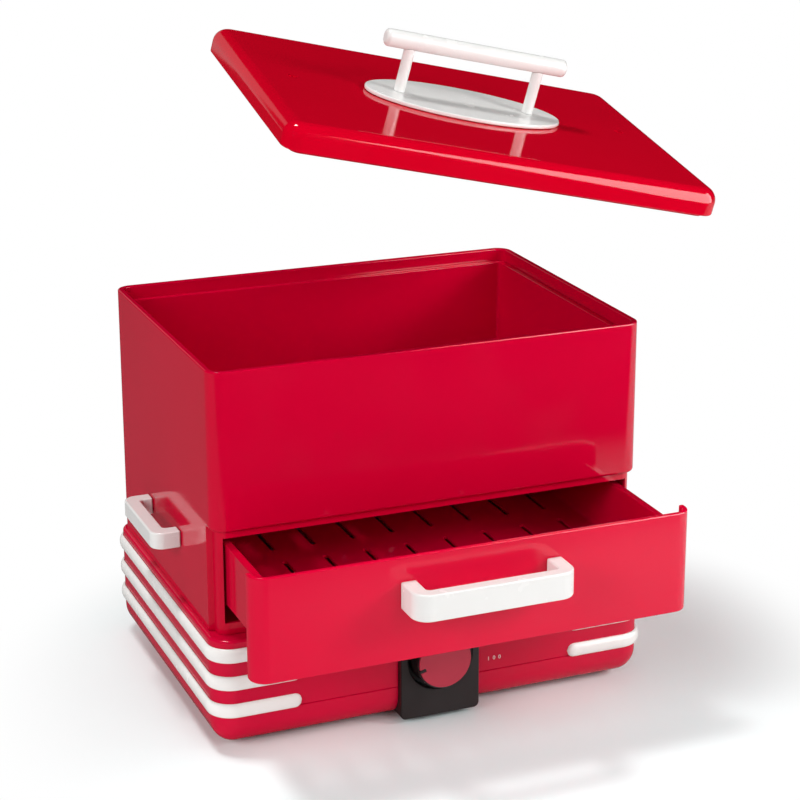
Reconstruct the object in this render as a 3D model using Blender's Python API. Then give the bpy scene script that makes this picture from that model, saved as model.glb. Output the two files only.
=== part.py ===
"""Counter-top hot dog steamer: striped base, red chamber, sausage drawer, bun tray and a lid.

Model frame, before the root empty moves it: X across, Y back from the upper front panel, Z up from
the table. The drawer is modelled shut and the lid seated. Their parent empties carry them to where
they rest, pulled out and held clear. All lengths are metres.
"""
import math

import bmesh
import bpy
from mathutils import Matrix, Vector

# Fits shared by all pieces
gap = 0.0003                    # left between two pieces that touch
overrun = 0.004                 # how far a cutter runs past the faces it opens

# Chamber housing
body_width = 0.320
body_depth = 0.235
rim_height = 0.273
body_corner = 0.0115
body_wall = 0.0045
rim_round = 0.001
panel_bottom = 0.160            # lower edge of the proud upper front panel
panel_edge = 0.0025             # round under that edge
panel_draft = 0.0002            # rise of the panel's underside as it runs out to the face
recess = 0.004                  # how far the front end below the panel is drawn in
recess_length = 0.0153          # the drawn-in part of each side wall, from the front
recess_step = 0.0015            # slope where the side wall steps back out
recess_wall = 0.003
shelf_rise = 0.006              # from the panel's lower edge to the inner shelf behind it
shelf_slope = 0.002
ledge_drop = 0.0117             # from the rim down to the ledge that carries the bun tray
ledge_width = 0.0025
ledge_edge = 0.0012
ledge_chamfer = 0.0033
foot_flange = 0.0095            # inward flange at the bottom of the housing
foot_flange_thick = 0.0033
least_corner = 0.002            # smallest plan radius of an inset outline
window_side = 0.008             # from the side of the body to the drawer opening
window_drop = 0.005             # from the panel's lower edge to the top of the opening
window_sill = 0.0083            # from the housing's bottom to the sill
rail_width = 0.0105
rail_thick = 0.003
rail_start = 0.025
rail_end_space = 0.013          # from the end of a rail to the back of the body

# Base
foot_height = 0.0038
parting_height = 0.0285         # joint between the base pan and the base shell
base_top = 0.0844
base_side = 0.0036              # how far the base stands out past the body
base_front = 0.007
base_corner = 0.016
base_wall = 0.003
base_edge = 0.002               # round on the top ledge
lower_edge = 0.018              # big round under the base
deck_thick = 0.003
boss_radius = 0.0045
boss_side = 0.022               # from the body's side to the screw bosses
boss_inset = 0.045              # from the body's front and back to the screws
vent_length = 0.030
vent_width = 0.003
vent_field = 0.060              # width of the row of vents under the base
vent_count = 6

# White strips round both ends of the base
strip_height = 0.0105
strip_proud = 0.0025
strip_edge = 0.0007             # thickness at the strip's edges
strip_pitch = 0.0204
strip_drop = 0.0109             # from the base's top to the middle of the first strip
strip_end = 0.102               # from the middle of the base to the round tips

# Dial
bezel_width = 0.060
bezel_proud = 0.005
bezel_depth = 0.016
bezel_corner = 0.004
bezel_edge = 0.001
bezel_drop = 0.0055             # from the base's top to the top of the bezel
bezel_floor = 0.004             # wall behind the knob
bezel_rim = 0.004               # wall round the hollow behind the bezel
dial_height = 0.0485            # middle of the knob above the table
dial_recess_radius = 0.0245
dial_recess_depth = 0.008
knob_radius = 0.0218
knob_front_radius = 0.0206
knob_back_space = 0.0026        # behind the knob, for the control's screw heads
knob_proud = 0.0083             # from the bezel's face to the front of the black knob
knob_edge = 0.0004
knob_face_radius = 0.0196
knob_face_thick = 0.002
knob_face_proud = 0.0008
pointer_width = 0.002
pointer_length = 0.0042
pointer_turn_share = 195 / 360  # turn of the pointer at rest, from straight right over the top
shaft_radius = 0.003
shaft_fit = 0.0006
shaft_reach = 0.008             # into the control behind the bezel
shaft_end_space = 0.003         # from the knob's front to the end of the shaft
control_width = 0.040
control_depth = 0.022
control_corner = 0.004
control_screw_spread = 0.012
control_bite = 0.006            # how far the control's screws run into it

# Drawer
drawer_open = 0.082             # how far the drawer stands pulled out at rest
plate_height = 0.0740
plate_space = 0.0008            # above the shut drawer front
return_depth = 0.015
plate_edge = 0.001
tray_window_fit = 0.002         # between the tray and each side of the opening
tray_rim_drop = 0.005           # from the top of the opening to the tray's rim
tray_height = 0.044
tray_rim_width = 0.0057
tray_rim_thick = 0.002
tray_wall = 0.002
tray_skirt = 0.002              # how far the outer wall hangs below the floor
tray_corner = 0.006
tray_back_space = 0.0045        # behind the shut tray
tray_fillet = 0.003
tray_slot_width = 0.0038
tray_slot_length = 0.044
tray_slot_rows = 3
tray_slot_columns = 9

# Bun tray
bun_wall = 0.0022
bun_side_fit = 0.0006
bun_draft = 0.0022              # how much the walls close in towards the floor
bun_rim_thick = 0.002
bun_floor_space = 0.002         # from the inner shelf to the underside of the floor
bun_fillet = 0.006
bun_slot_width = 0.0038
bun_slot_length = 0.030
bun_slot_rows = 4
bun_slot_columns = 7

# Handles
side_handle_length = 0.081
side_handle_height = 0.0124
side_handle_reach = 0.0203
side_handle_arm = 0.0106
side_handle_bar = 0.0105
side_handle_corner = 0.009
side_handle_middle = 0.1293     # height of the handle's middle
drawer_handle_length = 0.117
drawer_handle_height = 0.0193
drawer_handle_reach = 0.029
drawer_handle_arm = 0.011
drawer_handle_bar = 0.0095
drawer_handle_corner = 0.012
drawer_handle_middle = 0.1327
handle_inner_corner = 0.003
handle_edge = 0.0012

# Lid
lid_overhang = 0.001
lid_corner = 0.0125
lid_height = 0.0186
lid_edge = 0.010
lid_wall = 0.003
lid_lip_thick = 0.002
lid_lip_depth = 0.0025
lid_lip_fit = 0.0018            # beside the lip, because the lid comes away on a slant
lid_groove_drop = 0.003         # from the lid's ceiling to the top of the groove round the lip
lid_fillet = 0.003
lid_turn_share = 15.187 / 360   # turn from the lid's seat to where it is held, tipped, at rest
lid_axis_shares = (0.5231, 0.8025, -0.2871)
lid_pivot_offset = 0.40206      # a point on the axis of that turn: how far right of the body's middle,
lid_pivot_depth = 0.19332       # how far in front of its upper front panel
lid_pivot_height = 0.13709      # and how high above the table
lid_vent_radius = 0.0035
lid_vent_side = 0.128
lid_vent_back = 0.004
oval_length = 0.150
oval_width = 0.078
oval_thick = 0.003
oval_edge = 0.001
post_radius = 0.004
post_spacing = 0.100
bar_radius = 0.00635
bar_length = 0.140
bar_height = 0.059              # middle of the bar above the lid's lower edge
bar_round = 0.003

# Heating and wiring inside the base
pan_side = 0.042                # from the body's side to the water reservoir
pan_front = 0.034
pan_back = 0.031
pan_depth = 0.0344              # from the deck to the underside of the reservoir
pan_wall = 0.0015
pan_corner = 0.014
pan_fillet = 0.005
pan_flange = 0.010
pan_fit = 0.0025                # round the reservoir in the deck's opening
steam_plate_inset = 0.001       # from the reservoir's flange to the steam plate
steam_plate_thick = 0.0015
steam_plate_lip = 0.005
steam_slot_width = 0.0036
steam_slot_length = 0.036
steam_slot_rows = 3
steam_slot_columns = 6
element_radius = 0.00325
element_half_width = 0.085
element_front = 0.062
element_back = 0.178
element_corner = 0.020
element_end = 0.020             # from the middle to each end of the element
cutout_radius = 0.009
cutout_height = 0.008
cutout_stem_radius = 0.004
cutout_stem_height = 0.003
block_length = 0.030
block_width = 0.014
block_height = 0.013
block_edge = 0.001
block_side = 0.060              # from the middle of the base to the terminal block
block_back = 0.037              # from the body's back to the terminal block
wire_radius = 0.0012
wire_height = 0.034             # height that the leads run at
wire_spread = 0.008             # from the middle to the leads at the control and the element
wire_spacing = 0.010            # between the two leads on the terminal block
wire_reach = 0.060              # how far the leads run straight out before they swing over
gland_side = 0.060
gland_height = 0.043
gland_radius = 0.0055
gland_collar = 0.0078
gland_collar_thick = 0.002
gland_reach = 0.008
gland_tip_radius = 0.0046
gland_bore = 0.0034

# Fasteners and feet
screw_radius = 0.0015
screw_head_radius = 0.0036
screw_head_height = 0.0018
screw_crown_share = 0.6
screw_fit = 0.0004              # round a screw in its hole
screw_bite = 0.008              # how far a screw runs into a handle, post or boss
flange_bite = 0.0028            # how far the screws under the deck run into the housing's flange
foot_side = 0.038               # from the body's side to the middle of a foot
foot_front = 0.027
foot_radius = 0.012
foot_peg_radius = 0.004
foot_peg_length = 0.0035
foot_edge = 0.0008

# Faces on curved forms
corner_steps = 4
edge_steps = 4
strip_steps = 4
turned_sides = 22
small_sides = 10
slot_end_steps = 2
rim_steps = 2                   # rounds under 2 mm
lip_steps = 3                   # rounds of 2 to 6 mm
big_round_steps = 5             # the round edges of the base and the lid
screw_sides = 6
oval_sides = 24
bar_sides = 14
wire_points = 8

# Sizes that follow from those above
half_body = body_width / 2
middle_y = body_depth / 2
housing_bottom = base_top + gap
recess_inner = recess - body_wall + recess_wall
ledge_height = rim_height - ledge_drop
window_half = half_body - window_side
window_top = panel_bottom - window_drop
window_bottom = housing_bottom + window_sill
base_bottom = foot_height + gap
base_half = half_body + base_side
base_back = body_depth + base_side
pan_floor = base_bottom + base_wall
plate_thick = recess - gap
plate_bottom = panel_bottom - plate_space - plate_height
tray_half = window_half - tray_window_fit
tray_front = plate_thick + gap
tray_back = body_depth - body_wall - tray_back_space
tray_rim = window_top - tray_rim_drop
tray_bottom = tray_rim - tray_height
bezel_face = -base_front - bezel_proud
bezel_back = bezel_face + bezel_depth
bezel_top = base_top - bezel_drop
dial_floor = bezel_face + dial_recess_depth
control_front = dial_floor + bezel_floor + gap
reservoir_bottom = base_top - pan_depth
reservoir_rim = base_top + gap + pan_wall
lid_seat = rim_height + gap

glossy_red = (0.60, 0.004, 0.026)
deep_red = (0.45, 0.010, 0.030)
drawer_red = (0.70, 0.012, 0.050)
trim_white = (0.88, 0.88, 0.87)
dial_black = (0.018, 0.014, 0.015)
rubber_black = (0.02, 0.02, 0.02)
bare_metal = (0.62, 0.62, 0.63)
block_brown = (0.06, 0.03, 0.02)
wire_grey = (0.55, 0.55, 0.52)
smooth_angle = math.radians(35)
bevel_angle = math.radians(40)


def clear_scene():
    for item in list(bpy.data.objects):
        bpy.data.objects.remove(item, do_unlink=True)


def empty(name, parent=None, location=(0, 0, 0)):
    item = bpy.data.objects.new(name, None)
    item.empty_display_size = base_corner
    item.parent = parent
    item.location = location
    bpy.context.collection.objects.link(item)
    return item


def finish(item, colour, roughness, metallic=0.0):
    material = bpy.data.materials.new(item.name)
    material.use_nodes = True
    shader = material.node_tree.nodes["Principled BSDF"]
    shader.inputs["Base Color"].default_value = (*colour, 1.0)
    shader.inputs["Roughness"].default_value = roughness
    shader.inputs["Metallic"].default_value = metallic
    item.data.materials.append(material)


def linked(name, bm, parent):
    bmesh.ops.recalc_face_normals(bm, faces=bm.faces)
    mesh = bpy.data.meshes.new(name)
    bm.to_mesh(mesh)
    bm.free()
    item = bpy.data.objects.new(name, mesh)
    item.parent = parent
    bpy.context.collection.objects.link(item)
    return item


def piece(name, bm, parent, colour, roughness, metallic=0.0):
    """Turn a bmesh into a named object with its own material, smooth but for its real edges."""
    item = linked(name, bm, parent)
    item.data.shade_smooth()
    item.data.set_sharp_from_angle(angle=smooth_angle)
    finish(item, colour, roughness, metallic)
    return item


def combine(item, name, bm, operation="DIFFERENCE"):
    """Boolean a hidden helper mesh into a piece."""
    tool = linked(name, bm, item.parent)
    tool.hide_render = True
    tool.display_type = "WIRE"
    modifier = item.modifiers.new(name, "BOOLEAN")
    modifier.object = tool
    modifier.operation = operation
    modifier.solver = "EXACT"


def soften(item, width, segments=2):
    modifier = item.modifiers.new("edges", "BEVEL")
    modifier.width = width
    modifier.segments = segments
    modifier.limit_method = "ANGLE"
    modifier.angle_limit = bevel_angle


def arc(centre_x, centre_y, radius, start, end, steps):
    """Points on a flat arc, with its angles in degrees."""
    points = []
    for step in range(steps + 1):
        angle = math.radians(start + (end - start) * step / steps)
        points.append((centre_x + radius * math.cos(angle), centre_y + radius * math.sin(angle)))
    return points


def rounded_rectangle(left, right, front, back, radius):
    """Outline with four round corners, anticlockwise from the front right one."""
    points = arc(right - radius, front + radius, radius, -90, 0, corner_steps)
    points += arc(right - radius, back - radius, radius, 0, 90, corner_steps)
    points += arc(left + radius, back - radius, radius, 90, 180, corner_steps)
    points += arc(left + radius, front + radius, radius, 180, 270, corner_steps)
    return points


def edge_round(radius, steps=edge_steps):
    """(inset, drop) pairs from a side wall up round its edge on to the top face."""
    pairs = []
    for step in range(steps + 1):
        angle = math.pi / 2 * step / steps
        pairs.append((radius * (1 - math.cos(angle)), radius * (1 - math.sin(angle))))
    return pairs


def body_outline(inset, setback):
    """Plan of the housing, inset from its skin, with the front end drawn in by setback."""
    side = half_body - inset
    front_side = side - setback
    front = inset + setback
    back = body_depth - inset
    front_radius = max(body_corner - inset - setback, least_corner)
    back_radius = max(body_corner - inset, least_corner)
    step = recess_length + inset
    right = arc(front_side - front_radius, front + front_radius, front_radius, -90, 0, corner_steps)
    right += [(front_side, step), (side, step + recess_step)]
    right += arc(side - back_radius, back - back_radius, back_radius, 0, 90, corner_steps)
    left = [(-x, y) for x, y in reversed(right)]
    return right + left


def base_outline(inset):
    radius = max(base_corner - inset, least_corner)
    half = base_half - inset
    return rounded_rectangle(-half, half, inset - base_front, base_back - inset, radius)


def bun_outline(inset):
    radius = max(body_corner - inset, least_corner)
    return rounded_rectangle(inset - half_body, half_body - inset, inset, body_depth - inset, radius)


def tray_outline(inset):
    radius = max(tray_corner - inset, least_corner)
    half = tray_half - inset
    return rounded_rectangle(-half, half, tray_front + inset, tray_back - inset, radius)


def reservoir_outline(inset):
    half = half_body - pan_side - inset
    radius = max(pan_corner - inset, least_corner)
    return rounded_rectangle(-half, half, pan_front + inset, body_depth - pan_back - inset, radius)


def lid_outline(inset):
    inset = inset - lid_overhang
    radius = max(lid_corner - inset, least_corner)
    return rounded_rectangle(inset - half_body, half_body - inset, inset, body_depth - inset, radius)


def raised(outline, height):
    return [Vector((x, y, height)) for x, y in outline]


def loft(bm, rings, joined=False):
    """Skin a row of rings. The ends get caps, or the last ring joins the first."""
    rows = [[bm.verts.new(point) for point in ring] for ring in rings]
    pairs = list(zip(rows, rows[1:]))
    if joined:
        pairs.append((rows[-1], rows[0]))
    for lower, upper in pairs:
        for index in range(len(lower)):
            following = (index + 1) % len(lower)
            bm.faces.new((lower[index], lower[following], upper[following], upper[index]))
    if not joined:
        bm.faces.new(list(reversed(rows[0])))
        bm.faces.new(rows[-1])


def turned(bm, profile, centre, direction, sides=turned_sides, joined=False):
    """Turn a profile of (radius, distance along the axis) about a line through centre."""
    turn = Vector((0, 0, 1)).rotation_difference(Vector(direction)).to_matrix()
    rings = []
    for radius, along in profile:
        ring = []
        for side in range(sides):
            angle = math.tau * side / sides
            local = Vector((radius * math.cos(angle), radius * math.sin(angle), along))
            ring.append(Vector(centre) + turn @ local)
        rings.append(ring)
    loft(bm, rings, joined)


def box(bm, low, high):
    size = Vector(high) - Vector(low)
    middle = (Vector(high) + Vector(low)) / 2
    bmesh.ops.create_cube(bm, size=1, matrix=Matrix.Translation(middle) @ Matrix.Diagonal((*size, 1)))


def prism(bm, outline, offset):
    """Extrude a flat outline of points by an offset."""
    face = bm.faces.new([bm.verts.new(point) for point in outline])
    swept = bmesh.ops.extrude_face_region(bm, geom=[face])
    moved = [part for part in swept["geom"] if isinstance(part, bmesh.types.BMVert)]
    bmesh.ops.translate(bm, verts=moved, vec=offset)


def slot_grid(bm, columns, rows, field, width, length, low, high):
    """Round-ended upright slots, spread evenly over a field of (left, right, front, back)."""
    left, right, front, back = field
    half_straight = (length - width) / 2
    for column in range(columns):
        x = left + (right - left) * (column + 0.5) / columns
        for row in range(rows):
            y = front + (back - front) * (row + 0.5) / rows
            outline = arc(x, y + half_straight, width / 2, 0, 180, slot_end_steps)
            outline += arc(x, y - half_straight, width / 2, 180, 360, slot_end_steps)
            prism(bm, raised(outline, low), (0, 0, high - low))


def screws(name, seats, parent, length):
    """Pan-head screws, one piece each, from (seat, direction): the head bears on the seat."""
    crown = screw_head_radius * screw_crown_share
    profile = [(crown, -screw_head_height - gap), (screw_head_radius, -screw_head_height / 2),
               (screw_head_radius, -gap), (screw_radius, -gap), (screw_radius, length)]
    for number, (seat, direction) in enumerate(seats, 1):
        bm = bmesh.new()
        turned(bm, profile, seat, direction, screw_sides)
        piece(f"{name}_{number}", bm, parent, bare_metal, 0.35, 1.0)


def screw_hole(bm, seat, direction, length):
    """Clearance for that screw's shank, open at the seat."""
    radius = screw_radius + screw_fit
    turned(bm, [(radius, -overrun), (radius, length + screw_fit)], seat, direction, screw_sides)


def handle_outline(length, reach, arm, bar, corner):
    """U of a handle as (along, out) points, with its two feet at out = 0."""
    outer = arc(corner - length / 2, reach - corner, corner, 180, 90, corner_steps)
    outer += arc(length / 2 - corner, reach - corner, corner, 90, 0, corner_steps)
    half = length / 2 - arm
    depth = reach - bar
    small = handle_inner_corner
    inner = arc(half - small, depth - small, small, 0, 90, edge_steps)
    inner += arc(small - half, depth - small, small, 90, 180, edge_steps)
    return [(-length / 2, 0)] + outer + [(length / 2, 0), (half, 0)] + inner + [(-half, 0)]


def side_screw_seats():
    """Inner wall points and outward directions of the screws that hold the side handles."""
    reach = (side_handle_length - side_handle_arm) / 2
    seats = []
    for side in (-1, 1):
        for along in (-reach, reach):
            wall = side * (half_body - body_wall)
            seats.append(((wall, middle_y + along, side_handle_middle), (side, 0, 0)))
    return seats


def flange_screw_seats():
    """Points under the deck where screws come up into the housing's flange."""
    places = corner_places(body_wall + foot_flange / 2, boss_inset)
    return [((x, y, base_top - deck_thick), (0, 0, 1)) for x, y in places]


def base_screw_seats():
    """Points under the base pan where screws go up into the shell's bosses."""
    return [((x, y, base_bottom), (0, 0, 1)) for x, y in corner_places(boss_side, boss_inset)]


def drawer_screw_seats():
    """Points on the tray's inner front wall. The screws run forward into the drawer handle."""
    side = (drawer_handle_length - drawer_handle_arm) / 2
    return [((x, tray_front + tray_rim_width, drawer_handle_middle), (0, -1, 0)) for x in (-side, side)]


def lid_screw_seats():
    """Points on the lid's ceiling where screws go up into the posts."""
    ceiling = lid_seat + lid_height - lid_wall
    return [((x, middle_y, ceiling), (0, 0, 1)) for x in (-post_spacing / 2, post_spacing / 2)]


def control_screw_seats():
    """Points on the floor of the dial's recess, behind the knob."""
    spread = control_screw_spread
    return [((x, dial_floor, dial_height), (0, 1, 0)) for x in (-spread, spread)]


def corner_places(side_inset, end_inset):
    side = half_body - side_inset
    return [(x, y) for x in (-side, side) for y in (end_inset, body_depth - end_inset)]


def make_housing(root):
    """Red chamber wall: proud upper panel, drawn-in front end, drawer opening, ledge and flange."""
    shelf = panel_bottom + shelf_rise
    flange_top = housing_bottom + foot_flange_thick
    flange_inset = body_wall + foot_flange
    sections = [(0, recess, housing_bottom), (0, recess, panel_bottom)]
    for inset, drop in reversed(edge_round(panel_edge, lip_steps)):
        sections.append((0, inset, panel_bottom + panel_draft + drop))
    for inset, drop in edge_round(rim_round, rim_steps):
        sections.append((inset, 0, rim_height - drop))
    sections += [(body_wall - rim_round, 0, rim_height), (body_wall, 0, rim_height - rim_round),
                 (body_wall, 0, ledge_height), (body_wall + ledge_width, 0, ledge_height),
                 (body_wall + ledge_width, 0, ledge_height - ledge_edge),
                 (body_wall, 0, ledge_height - ledge_edge - ledge_chamfer),
                 (body_wall, 0, shelf), (body_wall, recess_inner, shelf - shelf_slope),
                 (body_wall, recess_inner, flange_top), (flange_inset, recess_inner, flange_top),
                 (flange_inset, recess_inner, housing_bottom)]
    bm = bmesh.new()
    rings = [raised(body_outline(inset, setback), height) for inset, setback, height in sections]
    loft(bm, rings, joined=True)
    housing = piece("chamber_housing", bm, root, glossy_red, 0.12)

    rails = bmesh.new()
    rail_near = half_body - body_wall - rail_width
    rail_far = half_body - body_wall / 2
    rail_top = tray_bottom - gap
    rail_end = body_depth - rail_end_space
    for low_x, high_x in ((-rail_far, -rail_near), (rail_near, rail_far)):
        box(rails, (low_x, rail_start, rail_top - rail_thick), (high_x, rail_end, rail_top))
    combine(housing, "cut_rails", rails, "UNION")

    opening = bmesh.new()
    box(opening, (-window_half, recess - overrun, window_bottom),
        (window_half, recess + recess_wall + overrun, window_top))
    combine(housing, "cut_window", opening)

    holes = bmesh.new()
    for seat, direction in side_screw_seats():
        screw_hole(holes, seat, direction, body_wall + overrun)
    for seat, direction in flange_screw_seats():
        screw_hole(holes, seat, direction, deck_thick + foot_flange_thick + overrun)
    combine(housing, "cut_housing_holes", holes)


def bezel_pocket():
    """Cutter for the dial bezel's place in the base, which runs out below and in front."""
    bm = bmesh.new()
    half = bezel_width / 2 + gap
    box(bm, (-half, bezel_face - overrun, base_bottom - overrun), (half, bezel_back + gap, bezel_top + gap))
    return bm


def make_base_shell(root):
    """Upper base: a skirt with a deck that carries the housing and the reservoir."""
    bottom = parting_height + gap / 2
    deck_under = base_top - deck_thick
    rings = [raised(base_outline(0), bottom)]
    for inset, drop in edge_round(base_edge, rim_steps):
        rings.append(raised(base_outline(inset), base_top - drop))
    rings += [raised(reservoir_outline(-pan_fit), base_top), raised(reservoir_outline(-pan_fit), deck_under),
              raised(base_outline(base_wall), deck_under), raised(base_outline(base_wall), bottom)]
    bm = bmesh.new()
    loft(bm, rings, joined=True)
    shell = piece("base_shell", bm, root, deep_red, 0.14)

    bosses = bmesh.new()
    boss_foot = pan_floor + gap
    for x, y in corner_places(boss_side, boss_inset):
        turned(bosses, [(boss_radius, 0), (boss_radius, base_top - deck_thick / 2 - boss_foot)],
               (x, y, boss_foot), (0, 0, 1), small_sides)
    combine(shell, "cut_bosses", bosses, "UNION")

    holes = bmesh.new()
    for x, y in corner_places(boss_side, boss_inset):
        screw_hole(holes, (x, y, boss_foot), (0, 0, 1), screw_bite)
    for seat, direction in flange_screw_seats():
        screw_hole(holes, seat, direction, deck_thick + overrun)
    turned(holes, [(gland_radius, -base_wall - overrun), (gland_radius, overrun)],
           (gland_side, base_back, gland_height), (0, 1, 0), small_sides)
    combine(shell, "cut_shell_holes", holes)
    combine(shell, "cut_shell_pocket", bezel_pocket())


def make_base_pan(root):
    """Lower base: a closing pan with the big rounded edge, vents, and holes for feet and screws."""
    top = parting_height - gap / 2
    rings = [raised(base_outline(inset), base_bottom + drop)
             for inset, drop in reversed(edge_round(lower_edge, big_round_steps))]
    rings += [raised(base_outline(0), top), raised(base_outline(base_wall), top)]
    rings += [raised(base_outline(base_wall + inset), pan_floor + drop)
              for inset, drop in edge_round(lower_edge - base_wall, lip_steps)]
    bm = bmesh.new()
    loft(bm, rings)
    pan = piece("base_pan", bm, root, deep_red, 0.16)

    holes = bmesh.new()
    for seat, direction in base_screw_seats():
        screw_hole(holes, seat, direction, base_wall + overrun)
    for x, y in corner_places(foot_side, foot_front):
        turned(holes, [(foot_peg_radius + gap, -overrun), (foot_peg_radius + gap, base_wall + overrun)],
               (x, y, base_bottom), (0, 0, 1), small_sides)
    field = (-vent_field / 2, vent_field / 2, middle_y - vent_length, middle_y + vent_length)
    slot_grid(holes, vent_count, 1, field, vent_width, vent_length, base_bottom - overrun,
              pan_floor + overrun)
    combine(pan, "cut_pan_holes", holes)
    combine(pan, "cut_pan_pocket", bezel_pocket())


def make_feet(root):
    """Rubber feet with pegs that press up into the base pan."""
    for number, (x, y) in enumerate(corner_places(foot_side, foot_front), 1):
        bm = bmesh.new()
        turned(bm, [(foot_radius - foot_edge, 0), (foot_radius, foot_edge), (foot_radius, foot_height),
                    (foot_peg_radius, foot_height), (foot_peg_radius, foot_height + foot_peg_length)],
               (x, y, 0), (0, 0, 1), small_sides)
        piece(f"rubber_foot_{number}", bm, root, rubber_black, 0.7)


def strip_stations():
    """(point, outward normal, size share) along a strip, from its front tip round the left end."""
    tip = strip_height / 2
    ends = []
    for step in range(1, edge_steps + 1):
        turn = math.pi / 2 * step / edge_steps
        ends.append((-strip_end - tip * (1 - math.cos(turn)), math.sin(turn)))
    centre_x = base_corner - base_half
    stations = [(Vector((x, -base_front)), Vector((0, -1)), share) for x, share in ends]
    for centre_y, start in ((base_corner - base_front, 270), (base_back - base_corner, 180)):
        for x, y in arc(0, 0, 1, start, start - 90, strip_steps):
            normal = Vector((x, y))
            stations.append((Vector((centre_x, centre_y)) + normal * base_corner, normal, 1))
    stations += [(Vector((x, base_back)), Vector((0, 1)), share) for x, share in reversed(ends)]
    return stations


def strip_section(point, normal, share, height, side):
    """One cross-section: flat back on the wall, bowed white face, scaled down at the tips."""
    half = strip_height / 2 * share
    section = [(-half, gap), (half, gap)]
    for step in range(strip_steps + 1):
        across = 1 - 2 * step / strip_steps
        bow = (strip_proud - strip_edge) * share * (1 - across * across)
        section.append((half * across, gap + strip_edge + bow))
    ring = []
    for rise, out in section:
        x, y = point + normal * out
        ring.append(Vector((side * x, y, height + rise)))
    return ring


def make_strips(root):
    """Three bowed white strips round each end of the base."""
    for side, end in ((1, "left"), (-1, "right")):
        for row, level in enumerate(("upper", "middle", "lower")):
            height = base_top - strip_drop - row * strip_pitch
            bm = bmesh.new()
            loft(bm, [strip_section(*station, height, side) for station in strip_stations()])
            piece(f"strip_{end}_{level}", bm, root, trim_white, 0.2)


def make_dial(root):
    """Black bezel let into the base, the control behind it, and the knob that turns on its shaft."""
    half = bezel_width / 2
    outline = rounded_rectangle(-half, half, base_bottom, bezel_top, bezel_corner)
    bm = bmesh.new()
    prism(bm, [Vector((x, bezel_face, z)) for x, z in outline], (0, bezel_depth, 0))
    bezel = piece("dial_bezel", bm, root, dial_black, 0.25)
    soften(bezel, bezel_edge, 1)
    axis = (0, bezel_face, dial_height)
    recess_cut = bmesh.new()
    profile = [(dial_recess_radius, -overrun), (dial_recess_radius, dial_recess_depth)]
    turned(recess_cut, profile, axis, (0, 1, 0))
    combine(bezel, "cut_dial_recess", recess_cut)
    back_cut = bmesh.new()
    box(back_cut, (bezel_rim - half, dial_floor + bezel_floor, base_bottom + bezel_rim),
        (half - bezel_rim, bezel_back + overrun, bezel_top - bezel_rim))
    combine(bezel, "cut_bezel_back", back_cut)
    bezel_holes = bmesh.new()
    turned(bezel_holes, [(shaft_radius + shaft_fit, 0), (shaft_radius + shaft_fit, bezel_depth)], axis,
           (0, 1, 0), small_sides)
    for seat, direction in control_screw_seats():
        screw_hole(bezel_holes, seat, direction, bezel_floor + overrun)
    combine(bezel, "cut_bezel_holes", bezel_holes)

    reach = control_width / 2
    outline = rounded_rectangle(-reach, reach, dial_height - reach, dial_height + reach, control_corner)
    bm = bmesh.new()
    prism(bm, [Vector((x, control_front, z)) for x, z in outline], (0, control_depth, 0))
    control = piece("control_unit", bm, root, block_brown, 0.5)
    control_holes = bmesh.new()
    profile = [(shaft_radius + shaft_fit, -overrun), (shaft_radius + shaft_fit, shaft_reach + gap)]
    turned(control_holes, profile, (0, control_front, dial_height), (0, 1, 0), small_sides)
    length = bezel_floor + gap + control_bite
    for seat, direction in control_screw_seats():
        screw_hole(control_holes, seat, direction, length)
    combine(control, "cut_control_holes", control_holes)
    screws("control_screw", control_screw_seats(), root, length)
    make_knob(empty("knob_axis", root, axis))


def make_knob(pivot):
    """Knob, its red face and its shaft, about the axis at the bezel's face. Out is towards -Y."""
    out = (0, -1, 0)
    back = knob_back_space - dial_recess_depth
    face_front = knob_proud + knob_face_proud
    face_back = face_front - knob_face_thick
    turn = Matrix.Rotation(-math.tau * pointer_turn_share, 3, "Y")

    bm = bmesh.new()
    turned(bm, [(knob_radius - knob_edge, back), (knob_radius, back + knob_edge),
                (knob_front_radius, knob_proud - knob_edge), (knob_front_radius - knob_edge, knob_proud),
                (knob_face_radius + gap, knob_proud), (knob_face_radius + gap, face_back - gap)],
           (0, 0, 0), out)
    knob = piece("dial_knob", bm, pivot, dial_black, 0.3)
    pointer = bmesh.new()
    box(pointer, (knob_face_radius - pointer_length, -face_front - knob_edge, -pointer_width / 2),
        (knob_face_radius + 2 * gap, gap - face_back + knob_edge, pointer_width / 2))
    bmesh.ops.rotate(pointer, cent=(0, 0, 0), matrix=turn, verts=pointer.verts)
    combine(knob, "cut_pointer", pointer, "UNION")
    shaft_end = knob_proud - shaft_end_space
    bore = bmesh.new()
    profile = [(shaft_radius + gap, back - overrun), (shaft_radius + gap, shaft_end + gap)]
    turned(bore, profile, (0, 0, 0), out, small_sides)
    combine(knob, "cut_knob_bore", bore)

    bm = bmesh.new()
    turned(bm, [(knob_face_radius, face_back), (knob_face_radius, face_front - knob_edge),
                (knob_face_radius - knob_edge, face_front)], (0, 0, 0), out)
    face = piece("knob_face", bm, pivot, drawer_red, 0.25)
    notch = bmesh.new()
    box(notch, (knob_face_radius - pointer_length - gap, -face_front - overrun, -pointer_width / 2 - gap),
        (knob_face_radius + overrun, overrun - face_back, pointer_width / 2 + gap))
    bmesh.ops.rotate(notch, cent=(0, 0, 0), matrix=turn, verts=notch.verts)
    combine(face, "cut_face_notch", notch)

    bm = bmesh.new()
    profile = [(shaft_radius, bezel_face - control_front - shaft_reach), (shaft_radius, shaft_end)]
    turned(bm, profile, (0, 0, 0), out, small_sides)
    piece("dial_shaft", bm, pivot, bare_metal, 0.3, 1.0)


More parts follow.
